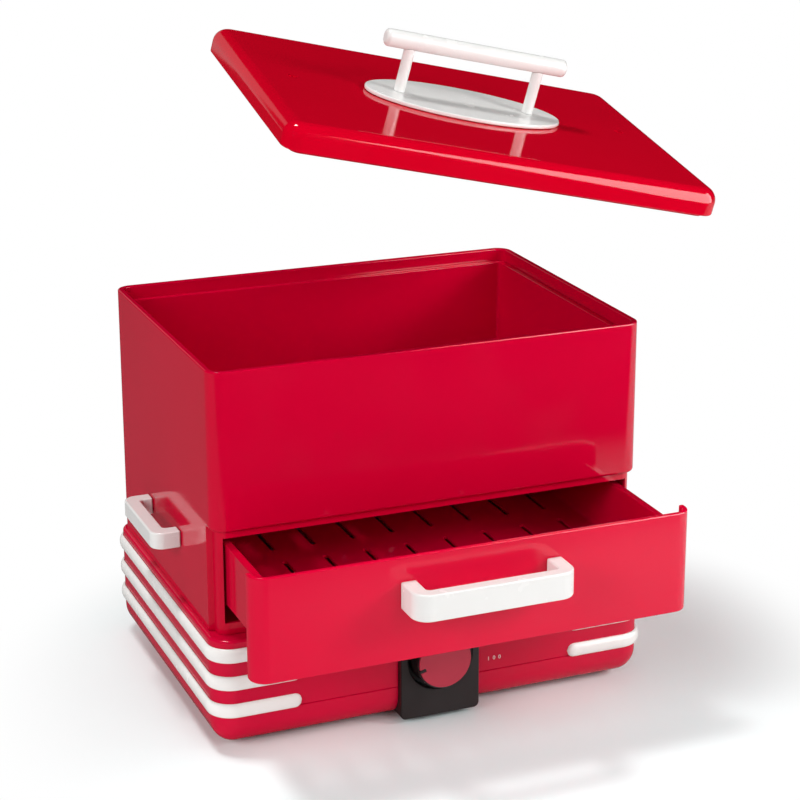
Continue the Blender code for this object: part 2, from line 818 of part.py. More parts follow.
def make_drawer(slide):
    """Sausage drawer: front plate with rounded returns, double-walled tray, handle and screws."""
    radius = body_corner
    side = half_body - radius
    inner = radius - plate_thick
    outline = [(half_body, return_depth)]
    outline += arc(side, radius, radius, 0, -90, corner_steps)
    outline += arc(-side, radius, radius, -90, -180, corner_steps)
    outline += [(-half_body, return_depth), (plate_thick - half_body, return_depth)]
    outline += arc(-side, radius, inner, 180, 270, corner_steps)
    outline += arc(side, radius, inner, 270, 360, corner_steps)
    outline += [(half_body - plate_thick, return_depth)]
    bm = bmesh.new()
    prism(bm, raised(outline, plate_bottom), (0, 0, plate_height))
    plate = piece("drawer_front", bm, slide, drawer_red, 0.12)
    soften(plate, plate_edge)
    holes = bmesh.new()
    for seat, direction in drawer_screw_seats():
        screw_hole(holes, seat, direction, tray_front + tray_rim_width + overrun)
    combine(plate, "cut_plate_holes", holes)

    floor_under = tray_bottom + tray_skirt
    floor_top = floor_under + tray_wall
    inner_wall = tray_rim_width - tray_wall
    sections = [(inner_wall + inset, floor_under + drop)
                for inset, drop in reversed(edge_round(tray_fillet, rim_steps))]
    sections += [(inner_wall, tray_rim - tray_rim_thick), (tray_wall, tray_rim - tray_rim_thick),
                 (tray_wall, tray_bottom), (0, tray_bottom)]
    sections += [(inset, tray_rim - drop) for inset, drop in edge_round(rim_round, rim_steps)]
    sections += [(tray_rim_width - rim_round, tray_rim), (tray_rim_width, tray_rim - rim_round)]
    sections += [(tray_rim_width + inset, floor_top + drop)
                 for inset, drop in edge_round(tray_fillet, rim_steps)]
    bm = bmesh.new()
    loft(bm, [raised(tray_outline(inset), height) for inset, height in sections])
    tray = piece("drawer_tray", bm, slide, glossy_red, 0.15)
    margin = tray_rim_width + 2 * tray_fillet
    slots = bmesh.new()
    slot_grid(slots, tray_slot_columns, tray_slot_rows,
              (margin - tray_half, tray_half - margin, tray_front + margin, tray_back - margin),
              tray_slot_width, tray_slot_length, floor_under - overrun, floor_top + overrun)
    for seat, direction in drawer_screw_seats():
        screw_hole(slots, seat, direction, tray_rim_width + overrun)
    combine(tray, "cut_tray_slots", slots)

    outline = handle_outline(drawer_handle_length, drawer_handle_reach, drawer_handle_arm,
                             drawer_handle_bar, drawer_handle_corner)
    low = drawer_handle_middle - drawer_handle_height / 2
    bm = bmesh.new()
    prism(bm, [Vector((along, -gap - out, low)) for along, out in outline], (0, 0, drawer_handle_height))
    handle = piece("drawer_handle", bm, slide, trim_white, 0.2)
    soften(handle, handle_edge)
    holes = bmesh.new()
    length = tray_front + tray_rim_width + gap + screw_bite
    for seat, direction in drawer_screw_seats():
        screw_hole(holes, seat, direction, length)
    combine(handle, "cut_drawer_handle_holes", holes)
    screws("drawer_screw", drawer_screw_seats(), slide, length)


def make_side_handles(root):
    outline = handle_outline(side_handle_length, side_handle_reach, side_handle_arm, side_handle_bar,
                             side_handle_corner)
    low = side_handle_middle - side_handle_height / 2
    length = body_wall + gap + screw_bite
    for side, name in ((-1, "left"), (1, "right")):
        bm = bmesh.new()
        points = [Vector((side * (half_body + gap + out), middle_y + along, low)) for along, out in outline]
        prism(bm, points, (0, 0, side_handle_height))
        handle = piece(f"side_handle_{name}", bm, root, trim_white, 0.2)
        soften(handle, handle_edge)
        holes = bmesh.new()
        for seat, direction in side_screw_seats():
            if direction[0] == side:
                screw_hole(holes, seat, direction, length)
        combine(handle, f"cut_side_handle_{name}", holes)
    screws("side_handle_screw", side_screw_seats(), root, length)


def make_bun_tray(lift):
    """Deep slotted tray whose rim rests on the housing's ledge."""
    wall = body_wall + ledge_width + bun_side_fit
    rim = body_wall + bun_side_fit
    floor_under = panel_bottom + shelf_rise + bun_floor_space
    floor_top = floor_under + bun_wall
    rim_under = ledge_height + gap
    rim_top = rim_under + bun_rim_thick
    foot = wall + bun_draft
    sections = [(foot + inset, floor_under + drop)
                for inset, drop in reversed(edge_round(bun_fillet, lip_steps))]
    sections += [(wall, rim_under), (rim, rim_under), (rim, rim_top - rim_round), (rim + rim_round, rim_top),
                 (wall + bun_wall - rim_round, rim_top), (wall + bun_wall, rim_top - rim_round)]
    sections += [(foot + bun_wall + inset, floor_top + drop)
                 for inset, drop in edge_round(bun_fillet - bun_wall, lip_steps)]
    bm = bmesh.new()
    loft(bm, [raised(bun_outline(inset), height) for inset, height in sections])
    tray = piece("bun_tray", bm, lift, glossy_red, 0.15)
    margin = foot + 2 * bun_fillet
    slots = bmesh.new()
    slot_grid(slots, bun_slot_columns, bun_slot_rows,
              (margin - half_body, half_body - margin, margin, body_depth - margin),
              bun_slot_width, bun_slot_length, floor_under - overrun, floor_top + overrun)
    combine(tray, "cut_bun_slots", slots)


def make_lid(lift):
    """Shallow lid with a locating lip, and its oval plate, two posts and bar."""
    top = lid_seat + lid_height
    ceiling = top - lid_wall
    groove_top = ceiling - lid_groove_drop
    lip_outer = lid_overhang + body_wall + lid_lip_fit
    lip_inner = lip_outer + lid_lip_thick
    lip_foot = lid_seat - lid_lip_depth
    sections = [(inset, top - drop) for inset, drop in reversed(edge_round(lid_edge, big_round_steps))]
    sections += [(0, lid_seat + rim_round), (rim_round, lid_seat), (lid_wall, lid_seat),
                 (lid_wall, groove_top), (lip_outer, groove_top), (lip_outer, lip_foot),
                 (lip_inner, lip_foot)]
    sections += [(lip_inner + inset, ceiling - drop) for inset, drop in edge_round(lid_fillet, rim_steps)]
    bm = bmesh.new()
    loft(bm, [raised(lid_outline(inset), height) for inset, height in sections])
    shell = piece("lid_shell", bm, lift, glossy_red, 0.12)
    holes = bmesh.new()
    for x in (-lid_vent_side, lid_vent_side):
        turned(holes, [(lid_vent_radius, -overrun), (lid_vent_radius, lid_wall + overrun)],
               (x, middle_y + lid_vent_back, ceiling), (0, 0, 1), small_sides)
    for seat, direction in lid_screw_seats():
        screw_hole(holes, seat, direction, lid_wall + overrun)
    combine(shell, "cut_lid_holes", holes)

    oval_bottom = top + gap
    outline = []
    for side in range(oval_sides):
        angle = math.tau * side / oval_sides
        outline.append((oval_length / 2 * math.cos(angle), middle_y + oval_width / 2 * math.sin(angle)))
    bm = bmesh.new()
    prism(bm, raised(outline, oval_bottom), (0, 0, oval_thick))
    oval = piece("lid_oval_plate", bm, lift, trim_white, 0.2)
    soften(oval, oval_edge, 1)
    holes = bmesh.new()
    length = lid_wall + oval_thick + 2 * gap + screw_bite
    for seat, direction in lid_screw_seats():
        screw_hole(holes, seat, direction, length)
    combine(oval, "cut_oval_holes", holes)
    screws("lid_screw", lid_screw_seats(), lift, length)

    bar_z = lid_seat + bar_height
    bar_end = bar_length / 2
    post_foot = oval_bottom + oval_thick + gap
    for (seat, direction), name in zip(lid_screw_seats(), ("left", "right")):
        bm = bmesh.new()
        profile = [(post_radius, 0), (post_radius, bar_z - post_foot)]
        turned(bm, profile, (seat[0], middle_y, post_foot), (0, 0, 1), small_sides)
        post = piece(f"lid_post_{name}", bm, lift, trim_white, 0.25)
        hole = bmesh.new()
        screw_hole(hole, seat, direction, length)
        combine(post, f"cut_post_hole_{name}", hole)
        saddle = bmesh.new()
        profile = [(bar_radius + gap, -bar_end), (bar_radius + gap, bar_end)]
        turned(saddle, profile, (0, middle_y, bar_z), (1, 0, 0), bar_sides)
        combine(post, f"cut_post_saddle_{name}", saddle)

    bm = bmesh.new()
    round_end = edge_round(bar_round, lip_steps)
    profile = [(bar_radius - inset, drop - bar_end) for inset, drop in reversed(round_end)]
    profile += [(bar_radius - inset, bar_end - drop) for inset, drop in round_end]
    turned(bm, profile, (0, middle_y, bar_z), (1, 0, 0), bar_sides)
    piece("lid_bar", bm, lift, trim_white, 0.2)


def make_reservoir(root):
    """Metal water pan hung in the deck, and the slotted steam plate that covers it."""
    flange_under = base_top + gap
    sections = [(inset, reservoir_bottom + drop)
                for inset, drop in reversed(edge_round(pan_fillet, lip_steps))]
    sections += [(0, flange_under), (-pan_flange, flange_under), (-pan_flange, reservoir_rim),
                 (pan_wall, reservoir_rim)]
    sections += [(pan_wall + inset, reservoir_bottom + pan_wall + drop)
                 for inset, drop in edge_round(pan_fillet - pan_wall, lip_steps)]
    bm = bmesh.new()
    loft(bm, [raised(reservoir_outline(inset), height) for inset, height in sections])
    piece("water_reservoir", bm, root, bare_metal, 0.3, 1.0)

    low = reservoir_rim + gap
    outer = steam_plate_inset - pan_flange
    inner = outer + steam_plate_thick
    sections = [(outer, low), (outer, low + steam_plate_lip), (inner, low + steam_plate_lip),
                (inner, low + steam_plate_thick)]
    bm = bmesh.new()
    loft(bm, [raised(reservoir_outline(inset), height) for inset, height in sections])
    plate = piece("steam_plate", bm, root, bare_metal, 0.35, 1.0)
    reach = half_body - pan_side - pan_wall
    slots = bmesh.new()
    slot_grid(slots, steam_slot_columns, steam_slot_rows,
              (-reach, reach, pan_front + pan_wall, body_depth - pan_back - pan_wall),
              steam_slot_width, steam_slot_length, low - overrun, low + steam_plate_thick + overrun)
    combine(plate, "cut_steam_slots", slots)


def tube(name, route, radius, parent, colour, roughness, metallic=0.0):
    """Round tube along a list of points, with closed flat ends."""
    curve = bpy.data.curves.new(name, "CURVE")
    curve.dimensions = "3D"
    curve.bevel_depth = radius
    curve.bevel_resolution = 2
    curve.use_fill_caps = True
    spline = curve.splines.new("POLY")
    spline.points.add(len(route) - 1)
    for point, place in zip(spline.points, route):
        point.co = (*place, 1)
    item = bpy.data.objects.new(name, curve)
    item.parent = parent
    bpy.context.collection.objects.link(item)
    finish(item, colour, roughness, metallic)


def lead_route(start, leave, end, arrive):
    """A lead's centre line: straight for two radii at both ends, one smooth sweep between."""
    straight = 2 * wire_radius
    first = start + leave.normalized() * straight
    last = end - arrive.normalized() * straight
    route = [start]
    for step in range(wire_points + 1):
        share = step / wire_points
        rest = 1 - share
        route.append(first * rest ** 3 + (first + leave) * 3 * rest * rest * share
                     + (last - arrive) * 3 * rest * share * share + last * share ** 3)
    return route + [end]


def make_heating(root):
    """Heating element, overheat cut-out, terminal block, leads and the cord gland."""
    element_z = reservoir_bottom - gap - element_radius
    side = element_half_width - element_corner
    near = element_front + element_corner
    far = element_back - element_corner
    route = [(-element_end, element_front)]
    route += arc(-side, near, element_corner, 270, 180, edge_steps)
    route += arc(-side, far, element_corner, 180, 90, edge_steps)
    route += arc(side, far, element_corner, 90, 0, edge_steps)
    route += arc(side, near, element_corner, 0, -90, edge_steps)
    route += [(element_end, element_front)]
    tube("heating_element", raised(route, element_z), element_radius, root, bare_metal, 0.4, 1.0)

    bm = bmesh.new()
    turned(bm, [(cutout_radius, gap), (cutout_radius, cutout_height), (cutout_stem_radius, cutout_height),
                (cutout_stem_radius, cutout_height + cutout_stem_height)],
           (0, middle_y, reservoir_bottom), (0, 0, -1), small_sides)
    piece("overheat_cutout", bm, root, bare_metal, 0.4, 1.0)

    block_y = body_depth - block_back
    block_low = pan_floor + gap
    block_top = block_low + block_height
    bm = bmesh.new()
    box(bm, (block_side - block_length / 2, block_y - block_width / 2, block_low),
        (block_side + block_length / 2, block_y + block_width / 2, block_top))
    block = piece("terminal_block", bm, root, trim_white, 0.4)
    soften(block, block_edge, 1)

    control_back = control_front + control_depth + gap
    rise = Vector((0, 0, wire_height - block_top))
    reach = Vector((0, wire_reach, 0))
    across = Vector((wire_spread, 0, 0))
    near_lead = Vector((block_side - wire_spacing / 2, block_y, block_top + gap))
    far_lead = Vector((block_side + wire_spacing / 2, block_y, block_top + gap))
    right_terminal = Vector((wire_spread, control_back, wire_height))
    left_terminal = Vector((-wire_spread, control_back, wire_height))
    element_right = Vector((element_end - gap, element_front, element_z))
    element_left = Vector((gap - element_end, element_front, element_z))
    leads = {"lead_to_control": lead_route(near_lead, rise, right_terminal, -reach),
             "lead_to_element": lead_route(far_lead, rise, element_right, across),
             "lead_control_to_element": lead_route(left_terminal, reach / 3, element_left, -across)}
    for name, route in leads.items():
        tube(name, route, wire_radius, root, wire_grey, 0.5)

    inside = base_wall + gap
    bm = bmesh.new()
    turned(bm, [(gland_collar, -inside - gland_collar_thick), (gland_collar, -inside),
                (gland_radius - gap, -inside), (gland_radius - gap, gap),
                (gland_collar, gap), (gland_collar, gland_collar_thick),
                (gland_radius, gland_collar_thick), (gland_tip_radius, gland_reach),
                (gland_bore, gland_reach), (gland_bore, -inside - gland_collar_thick)],
           (gland_side, base_back, gland_height), (0, 1, 0), small_sides, joined=True)
    piece("cord_gland", bm, root, rubber_black, 0.6)


def held_lid():
    """The turn that carries the lid from its seat to where it is held in the air, tipped."""
    pivot = Matrix.Translation((lid_pivot_offset, -lid_pivot_depth, lid_pivot_height))
    return pivot @ Matrix.Rotation(math.tau * lid_turn_share, 4, Vector(lid_axis_shares)) @ pivot.inverted()


def origin(held):
    """Place of the root that puts the middle of the whole object's plan over the world's origin."""
    rim = raised(lid_outline(0), lid_seat + rim_round)
    for inset, drop in edge_round(lid_edge, big_round_steps):
        rim += raised(lid_outline(inset), lid_seat + lid_height - drop)
    right = max((held @ point).x for point in rim)
    back = max(max((held @ point).y for point in rim), base_back + gland_reach)
    left = half_body + gap + side_handle_reach
    front = drawer_open + gap + drawer_handle_reach
    return (left - right) / 2, (front - back) / 2, 0


def build():
    clear_scene()
    held = held_lid()
    root = empty("steamer_origin", location=origin(held))
    make_housing(root)
    make_base_shell(root)
    make_base_pan(root)
    make_feet(root)
    screws("base_screw", base_screw_seats(), root, base_wall + gap + screw_bite)
    screws("housing_screw", flange_screw_seats(), root, deck_thick + gap + flange_bite)
    make_strips(root)
    make_dial(root)
    make_side_handles(root)
    make_reservoir(root)
    make_heating(root)
    make_drawer(empty("drawer_slide", root, (0, -drawer_open, 0)))
    make_bun_tray(empty("bun_tray_lift", root))
    lift = empty("lid_lift_origin", root)
    lift.matrix_basis = held
    make_lid(lift)


build()
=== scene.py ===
import math

import bmesh
import bpy
from mathutils import Matrix, Vector


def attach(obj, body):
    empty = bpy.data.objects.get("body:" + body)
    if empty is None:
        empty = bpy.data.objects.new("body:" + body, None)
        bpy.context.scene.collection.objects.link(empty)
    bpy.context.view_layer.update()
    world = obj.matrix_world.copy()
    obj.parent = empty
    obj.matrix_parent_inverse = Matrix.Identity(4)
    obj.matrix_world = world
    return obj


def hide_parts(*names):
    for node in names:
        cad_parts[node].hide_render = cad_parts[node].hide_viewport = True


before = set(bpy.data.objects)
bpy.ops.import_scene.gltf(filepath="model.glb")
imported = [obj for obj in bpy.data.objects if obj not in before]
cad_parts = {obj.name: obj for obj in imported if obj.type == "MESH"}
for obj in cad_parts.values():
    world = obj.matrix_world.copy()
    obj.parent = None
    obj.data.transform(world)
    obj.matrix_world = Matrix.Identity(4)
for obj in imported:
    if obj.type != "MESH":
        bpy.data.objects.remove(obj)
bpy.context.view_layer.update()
print("frame loaded with", len(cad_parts), "nodes")

# Sizes are in millimetres. Each piece is drawn with the drawer shut and the lid seated: X across
# from the middle, Y back from the upper front panel, Z up from the table.
mm = 0.001
gap = 0.3                   # left between pieces that touch
overrun = 4.0               # how far a cutter reaches past what it cuts
leastCorner = 2.0           # the smallest round an inset outline keeps
placing = {
    "rootX": -26.862,
    "rootY": -67.65,
    "drawerOut": 82.0,          # how far the drawer stands open
    "lidTurn": 15.187,          # degrees from the lid's seat to where it is held, tipped
    "lidAxis": (0.5231, 0.8025, -0.2871),
    "lidPivot": (402.06, -193.32, 137.09),
}
fineness = {"corner": 12, "edge": 8, "smallEdge": 4, "bigEdge": 16, "innerCorner": 8, "turn": 72, "bore": 32,
            "screwHole": 16, "smoothAngle": 32}
rightwards, backwards, upwards = (1, 0, 0), (0, 1, 0), (0, 0, 1)


def heldLid():
    pivot = Matrix.Translation(placing["lidPivot"])
    turn = Matrix.Rotation(math.radians(placing["lidTurn"]), 4, Vector(placing["lidAxis"]))
    return pivot @ turn @ pivot.inverted()


rootPlace = Matrix.Translation((placing["rootX"], placing["rootY"], 0))
restPlace = {
    "base": rootPlace,
    "knob": rootPlace,
    "bun_tray_body": rootPlace,
    "drawer": rootPlace @ Matrix.Translation((0, -placing["drawerOut"], 0)),
    "lid": rootPlace @ heldLid(),
}


# Nodes and materials
def linear(code):
    channels = [int(code[i:i + 2], 16) / 255 for i in (1, 3, 5)]
    return (*[c / 12.92 if c <= 0.04045 else ((c + 0.055) / 1.055) ** 2.4 for c in channels], 1.0)


def addNode(tree, kind, inputs=None, **settings):
    item = tree.nodes.new(kind)
    for name, value in settings.items():
        setattr(item, name, value)
    for key, value in (inputs or {}).items():
        if isinstance(value, bpy.types.NodeSocket):
            tree.links.new(value, item.inputs[key])
        else:
            item.inputs[key].default_value = value
    return item


def shading(tree, kind, inputs=None, output=0, **settings):
    return addNode(tree, "ShaderNode" + kind, inputs, **settings).outputs[output]


def maths(tree, operation, first, second=None, **settings):
    inputs = {0: first} if second is None else {0: first, 1: second}
    return shading(tree, "Math", inputs, operation=operation, **settings)


def mapRange(tree, value, fromMin, fromMax, toMin=0.0, toMax=1.0, **settings):
    return shading(tree, "MapRange", {"Value": value, "From Min": fromMin, "From Max": fromMax,
                                      "To Min": toMin, "To Max": toMax}, **settings)


def mixColour(tree, share, first, second):
    return shading(tree, "Mix", {"Factor": share, 6: first, 7: second}, 2, data_type="RGBA")


def mixShader(tree, share, first, second):
    return shading(tree, "MixShader", {"Fac": share, 1: first, 2: second})


def perMetre(size):
    return 1 / (size * mm)


def noiseAt(tree, coords, size, detail=2.0, roughness=0.5):
    return shading(tree, "TexNoise", {"Vector": coords, "Scale": perMetre(size), "Detail": detail,
                                      "Roughness": roughness}, "Fac")


def bumpFrom(tree, height, depth):
    return shading(tree, "Bump", {"Height": height, "Strength": 1.0, "Distance": depth * mm})


def emptyMaterial(name):
    material = bpy.data.materials.new(name)
    material.use_nodes = True
    tree = material.node_tree
    tree.nodes.clear()
    return material, tree, shading(tree, "TexCoord", output="Object")


def endMaterial(tree, shader):
    addNode(tree, "ShaderNodeOutputMaterial", {"Surface": shader})


def surface(tree, inputs):
    endMaterial(tree, shading(tree, "BsdfPrincipled", inputs))


def mouldedPlastic(name, colour, shade, flow, roughness, spread, smudge, scratch, scratchRoughness, grain,
                   grainDetail, grainDepth, ior, specular, tint="#FFFFFF"):
    # sizes in millimetres: flow of the colour, smudges, scratches and the skin's grain
    material, tree, coords = emptyMaterial(name)
    # handling leaves broad dull smudges, and wiping leaves long hair-fine scratches
    smudges = noiseAt(tree, coords, smudge, detail=4.0)
    dull = mapRange(tree, smudges, 0.35, 0.75, roughness, roughness + spread)
    stretch = shading(tree, "Mapping", {"Vector": coords, "Rotation": (0.3, 0.2, 0.5), "Scale": (1, 14, 1)})
    hair = noiseAt(tree, stretch, scratch, detail=3.0)
    hairLine = mapRange(tree, hair, 0.66, 0.74, 0.0, scratchRoughness)
    # the mould's polish leaves a faint ripple, and a satin mould a fine even grain
    skin = noiseAt(tree, coords, grain, grainDetail)
    surface(tree, {
        "Base Color": mixColour(tree, noiseAt(tree, coords, flow), linear(colour), linear(shade)),
        "Roughness": maths(tree, "ADD", dull, hairLine), "Normal": bumpFrom(tree, skin, grainDepth),
        "IOR": ior, "Specular IOR Level": specular, "Specular Tint": linear(tint)})
    return material


plastics = {
    # name: the values of mouldedPlastic in their order
    # high-gloss ABS, moulded: deep even red that mirrors its surroundings, with a faint ripple
    "glossRedAbs": ("#CB0030", "#C3002B", 90, 0.06, 0.05, 26, 9, 0.05, 7, 1.0, 0.006, 1.5, 0.5),
    # the lid's copy of the red ABS, its colour set apart to stand for the light that falls on the lid, which
    # is painted light: blood red, polished like glass
    "glossRedLidAbs": ("#CE0022", "#C6001D", 90, 0.05, 0.04, 26, 9, 0.04, 7, 1.0, 0.005, 1.5, 0.32),
    # the same ABS in the base's mould, a shade lighter and duller
    "glossRedBaseAbs": ("#D30739", "#CB0533", 80, 0.09, 0.06, 22, 9, 0.05, 6, 1.0, 0.006, 1.5, 0.5),
    # the drawer front's ABS, lighter and pinker than the body's
    "glossRedDrawerAbs": ("#DB0437", "#D30332", 110, 0.10, 0.06, 30, 9, 0.05, 8, 1.0, 0.006, 1.5, 0.5),
    # white ABS trim: cool clean white with a soft gloss
    "glossWhiteAbs": ("#E9E9E7", "#E3E3E1", 40, 0.20, 0.10, 18, 6, 0.08, 3, 1.0, 0.003, 1.5, 0.45),
    # the strips' copy of the white ABS, painted lighter to stand for the stronger light on them: a faintly
    # warm white
    "brightWhiteAbs": ("#F6F5F2", "#F0EFEC", 40, 0.20, 0.10, 18, 6, 0.08, 3, 1.0, 0.003, 1.5, 0.45),
    # satin black polycarbonate: brown-black, with the fine grain of an eroded mould
    "satinBlackPolycarbonate": (
        "#241D1D", "#1E1818", 30, 0.36, 0.10, 14, 5, 0.08, 0.45, 2.0, 0.004, 1.55, 0.45),
    # satin red ABS let into the knob: paler than the body, with an even fine grain
    "satinRedAbs": ("#C2374C", "#B93247", 20, 0.34, 0.08, 10, 4, 0.06, 0.4, 2.0, 0.004, 1.5, 0.45, "#FFE8EA"),
    # moulded rubber: dark, matt, slightly dusty
    "mouldedRubber": ("#231A1B", "#30272A", 7, 0.62, 0.20, 5, 3, 0.10, 0.35, 3.0, 0.010, 1.5, 0.35),
    # pressed phenolic: chocolate brown with pale filler flecks
    "brownPhenolic": ("#3B2417", "#4C3122", 2.5, 0.42, 0.12, 9, 4, 0.08, 0.5, 3.0, 0.006, 1.6, 0.45),
    # nylon terminal block: milky, waxy white
    "milkyNylon": ("#E6E3DA", "#DAD6CA", 8, 0.40, 0.12, 7, 4, 0.08, 0.8, 2.0, 0.004, 1.53, 0.4),
    # screen-printed white ink on the base, thin and slightly chalky
    "whitePrintInk": ("#F2F2F0", "#E6E4E2", 2, 0.45, 0.10, 4, 2, 0.05, 0.3, 2.0, 0.002, 1.5, 0.35),
}


def workedMetal(name, colour, shade, pull, line, stain, roughness, spread, lineDepth):
    material, tree, coords = emptyMaterial(name)
    # rolling or drawing pulls the surface into lines along one direction
    drawn = shading(tree, "Mapping", {"Vector": coords, "Scale": pull})
    lines = noiseAt(tree, drawn, line, detail=4.0, roughness=0.6)
    stains = noiseAt(tree, coords, stain, detail=5.0, roughness=0.6)
    surface(tree, {
        "Base Color": mixColour(tree, stains, linear(colour), linear(shade)), "Metallic": 1.0,
        "Roughness": mapRange(tree, lines, 0.3, 0.7, roughness, roughness + spread),
        "Normal": bumpFrom(tree, lines, lineDepth)})
    return material


metals = {
    # pressed aluminium sheet: pale grey with rolling lines across the pan and dull lime stains
    "pressedAluminium": ("#D9DADC", "#C3C3C2", (1, 22, 22), 14, 24, 0.28, 0.20, 0.010),
    # zinc-plated screw steel: bright with a cold blue cast and turning marks
    "zincPlatedSteel": ("#C9CDD2", "#AEB4BC", (1, 1, 6), 0.9, 3, 0.24, 0.16, 0.004),
    # drawn heater sheath: steel browned by heat
    "heatBrownedSheath": ("#8D847A", "#6E5F52", (6, 6, 1), 3, 16, 0.38, 0.20, 0.006),
    # brass spindle: drawn bar, warm yellow, faintly tarnished
    "drawnBrass": ("#C9A45C", "#A98446", (8, 1, 8), 1.2, 5, 0.26, 0.16, 0.004),
}


def braidedSleeve(name, colour, shade, angle, strand, depth, roughness):
    material, tree, coords = emptyMaterial(name)
    # two sets of fine bands cross at the braid's angle, and where either band is low the darker colour is
    # painted shade between the strands
    bands = []
    for turn in (angle, -angle):
        slanted = shading(tree, "Mapping", {"Vector": coords, "Rotation": (turn, turn, turn)})
        bands.append(shading(tree, "TexWave", {"Vector": slanted, "Scale": perMetre(strand) / 6,
                                               "Distortion": 0.4}, "Fac"))
    cross = maths(tree, "MULTIPLY", *bands)
    surface(tree, {"Base Color": mixColour(tree, cross, linear(shade), linear(colour)),
                   "Roughness": roughness, "Normal": bumpFrom(tree, cross, depth)})
    return material


materials = {name: mouldedPlastic(name, *look) for name, look in plastics.items()}
materials.update({name: workedMetal(name, *look) for name, look in metals.items()})
# glass-fibre sleeve over the leads: off-white yarn braided at about 45 degrees
materials["glassFibreSleeve"] = braidedSleeve("glassFibreSleeve", "#D8D5C8", "#9A968A", angle=0.8, strand=0.6,
                                              depth=0.08, roughness=0.7)
print("materials made:", len(materials))


# Shapes
def arcPoints(centreX, centreY, radius, start, end, steps=fineness["corner"]):
    points = []
    for step in range(steps + 1):
        angle = math.radians(start + (end - start) * step / steps)
        points.append((centreX + radius * math.cos(angle), centreY + radius * math.sin(angle)))
    return points


def mirrored(points):
    return [(-x, y) for x, y in reversed(points)]


def roundedOutline(half, front, back, radius):
    right = arcPoints(half - radius, front + radius, radius, -90, 0)
    right += arcPoints(half - radius, back - radius, radius, 0, 90)
    return right + mirrored(right)


def drawnIn(plan, inset):
    # a plan's round-cornered outline, drawn in all round
    radius = max(plan["corner"] - inset, leastCorner)
    return roundedOutline(plan["half"] - inset, plan["front"] + inset, plan["back"] - inset, radius)


def rounding(inset, height, radius, across, up, steps=fineness["edge"], toWall=False):
    # (inset, height) pairs round an edge, from the wall on to the flat or the other way
    pairs = []
    for step in range(steps + 1):
        angle = math.pi / 2 * step / steps
        run, drop = radius * (1 - math.cos(angle)), radius * (1 - math.sin(angle))
        pairs.append((inset + across * run, height + up * drop))
    return pairs[::-1] if toWall else pairs


def roundedRim(outer, inner, top, radius):
    # over a rim with both its edges rounded
    steps = fineness["smallEdge"]
    return rounding(outer, top, radius, 1, -1, steps) + rounding(inner, top, radius, -1, -1, steps, True)


def raised(outline, height):
    return [Vector((x, y, height)) for x, y in outline]


def loft(rings, joined=False, bm=None):
    bm = bm or bmesh.new()
    rows = [[bm.verts.new(point) for point in ring] for ring in rings]
    pairs = list(zip(rows, rows[1:]))
    if joined:
        pairs.append((rows[-1], rows[0]))
    for lower, upper in pairs:
        for index in range(len(lower)):
            following = (index + 1) % len(lower)
            bm.faces.new((lower[index], lower[following], upper[following], upper[index]))
    if not joined:
        bm.faces.new(list(reversed(rows[0])))
        bm.faces.new(rows[-1])
    return bm


def lofted(plan, sections):
    return loft([raised(drawnIn(plan, inset), height) for inset, height in sections])


def turned(profile, centre=(0, 0, 0), direction=upwards, sides=fineness["turn"], joined=False, bm=None):
    # turns (radius, distance along the axis) pairs about a line through centre
    turn = Vector(upwards).rotation_difference(Vector(direction)).to_matrix()
    circle = [(math.cos(math.tau * side / sides), math.sin(math.tau * side / sides)) for side in range(sides)]
    return loft([[Vector(centre) + turn @ Vector((radius * x, radius * y, along)) for x, y in circle]
                 for radius, along in profile], joined, bm)


def cylinders(seats, radius, low, high, sides=fineness["bore"]):
    bm = bmesh.new()
    for seat, direction in seats:
        turned([(radius, low), (radius, high)], seat, direction, sides, bm=bm)
    return bm


def blocks(*pairs):
    bm = bmesh.new()
    for low, high in pairs:
        size, middle = Vector(high) - Vector(low), (Vector(high) + Vector(low)) / 2
        bmesh.ops.create_cube(bm, size=1, matrix=Matrix.Translation(middle) @ Matrix.Diagonal((*size, 1)))
    return bm


def prism(outline, offset, bm=None):
    bm = bm or bmesh.new()
    face = bm.faces.new([bm.verts.new(point) for point in outline])
    swept = bmesh.ops.extrude_face_region(bm, geom=[face])
    moved = [part for part in swept["geom"] if isinstance(part, bmesh.types.BMVert)]
    bmesh.ops.translate(bm, verts=moved, vec=offset)
    return bm


def meshObject(name, bm):
    bmesh.ops.recalc_face_normals(bm, faces=bm.faces)
    mesh = bpy.data.meshes.new(name)
    bm.to_mesh(mesh)
    bm.free()
    item = bpy.data.objects.new(name, mesh)
    bpy.context.collection.objects.link(item)
    return item


def settle(item):
    # turns what the modifiers make into the object's own plain mesh
    graph = bpy.context.evaluated_depsgraph_get()
    mesh = bpy.data.meshes.new_from_object(item.evaluated_get(graph), preserve_all_data_layers=True,
                                           depsgraph=graph)
    item.modifiers.clear()
    item.data = mesh


def carve(bm, *cutters, operation="DIFFERENCE"):
    # cuts closed meshes from another in turn, or joins them on, and gives back the result
    for cutter in cutters:
        item, tool = meshObject("carved", bm), meshObject("carver", cutter)
        modifier = item.modifiers.new("carve", "BOOLEAN")
        modifier.object, modifier.operation, modifier.solver = tool, operation, "EXACT"
        settle(item)
        bm = bmesh.new()
        bm.from_mesh(item.data)
        bpy.data.objects.remove(item)
        bpy.data.objects.remove(tool)
    return bm


def roundEdges(bm, width, segments=fineness["smallEdge"], angle=40):
    bmesh.ops.recalc_face_normals(bm, faces=bm.faces)
    sharp = [edge for edge in bm.edges
             if len(edge.link_faces) == 2 and edge.calc_face_angle() > math.radians(angle)]
    bmesh.ops.bevel(bm, geom=sharp, offset=width, offset_type="OFFSET", segments=segments, profile=0.5,
                    affect="EDGES", clamp_overlap=True)
    return bm


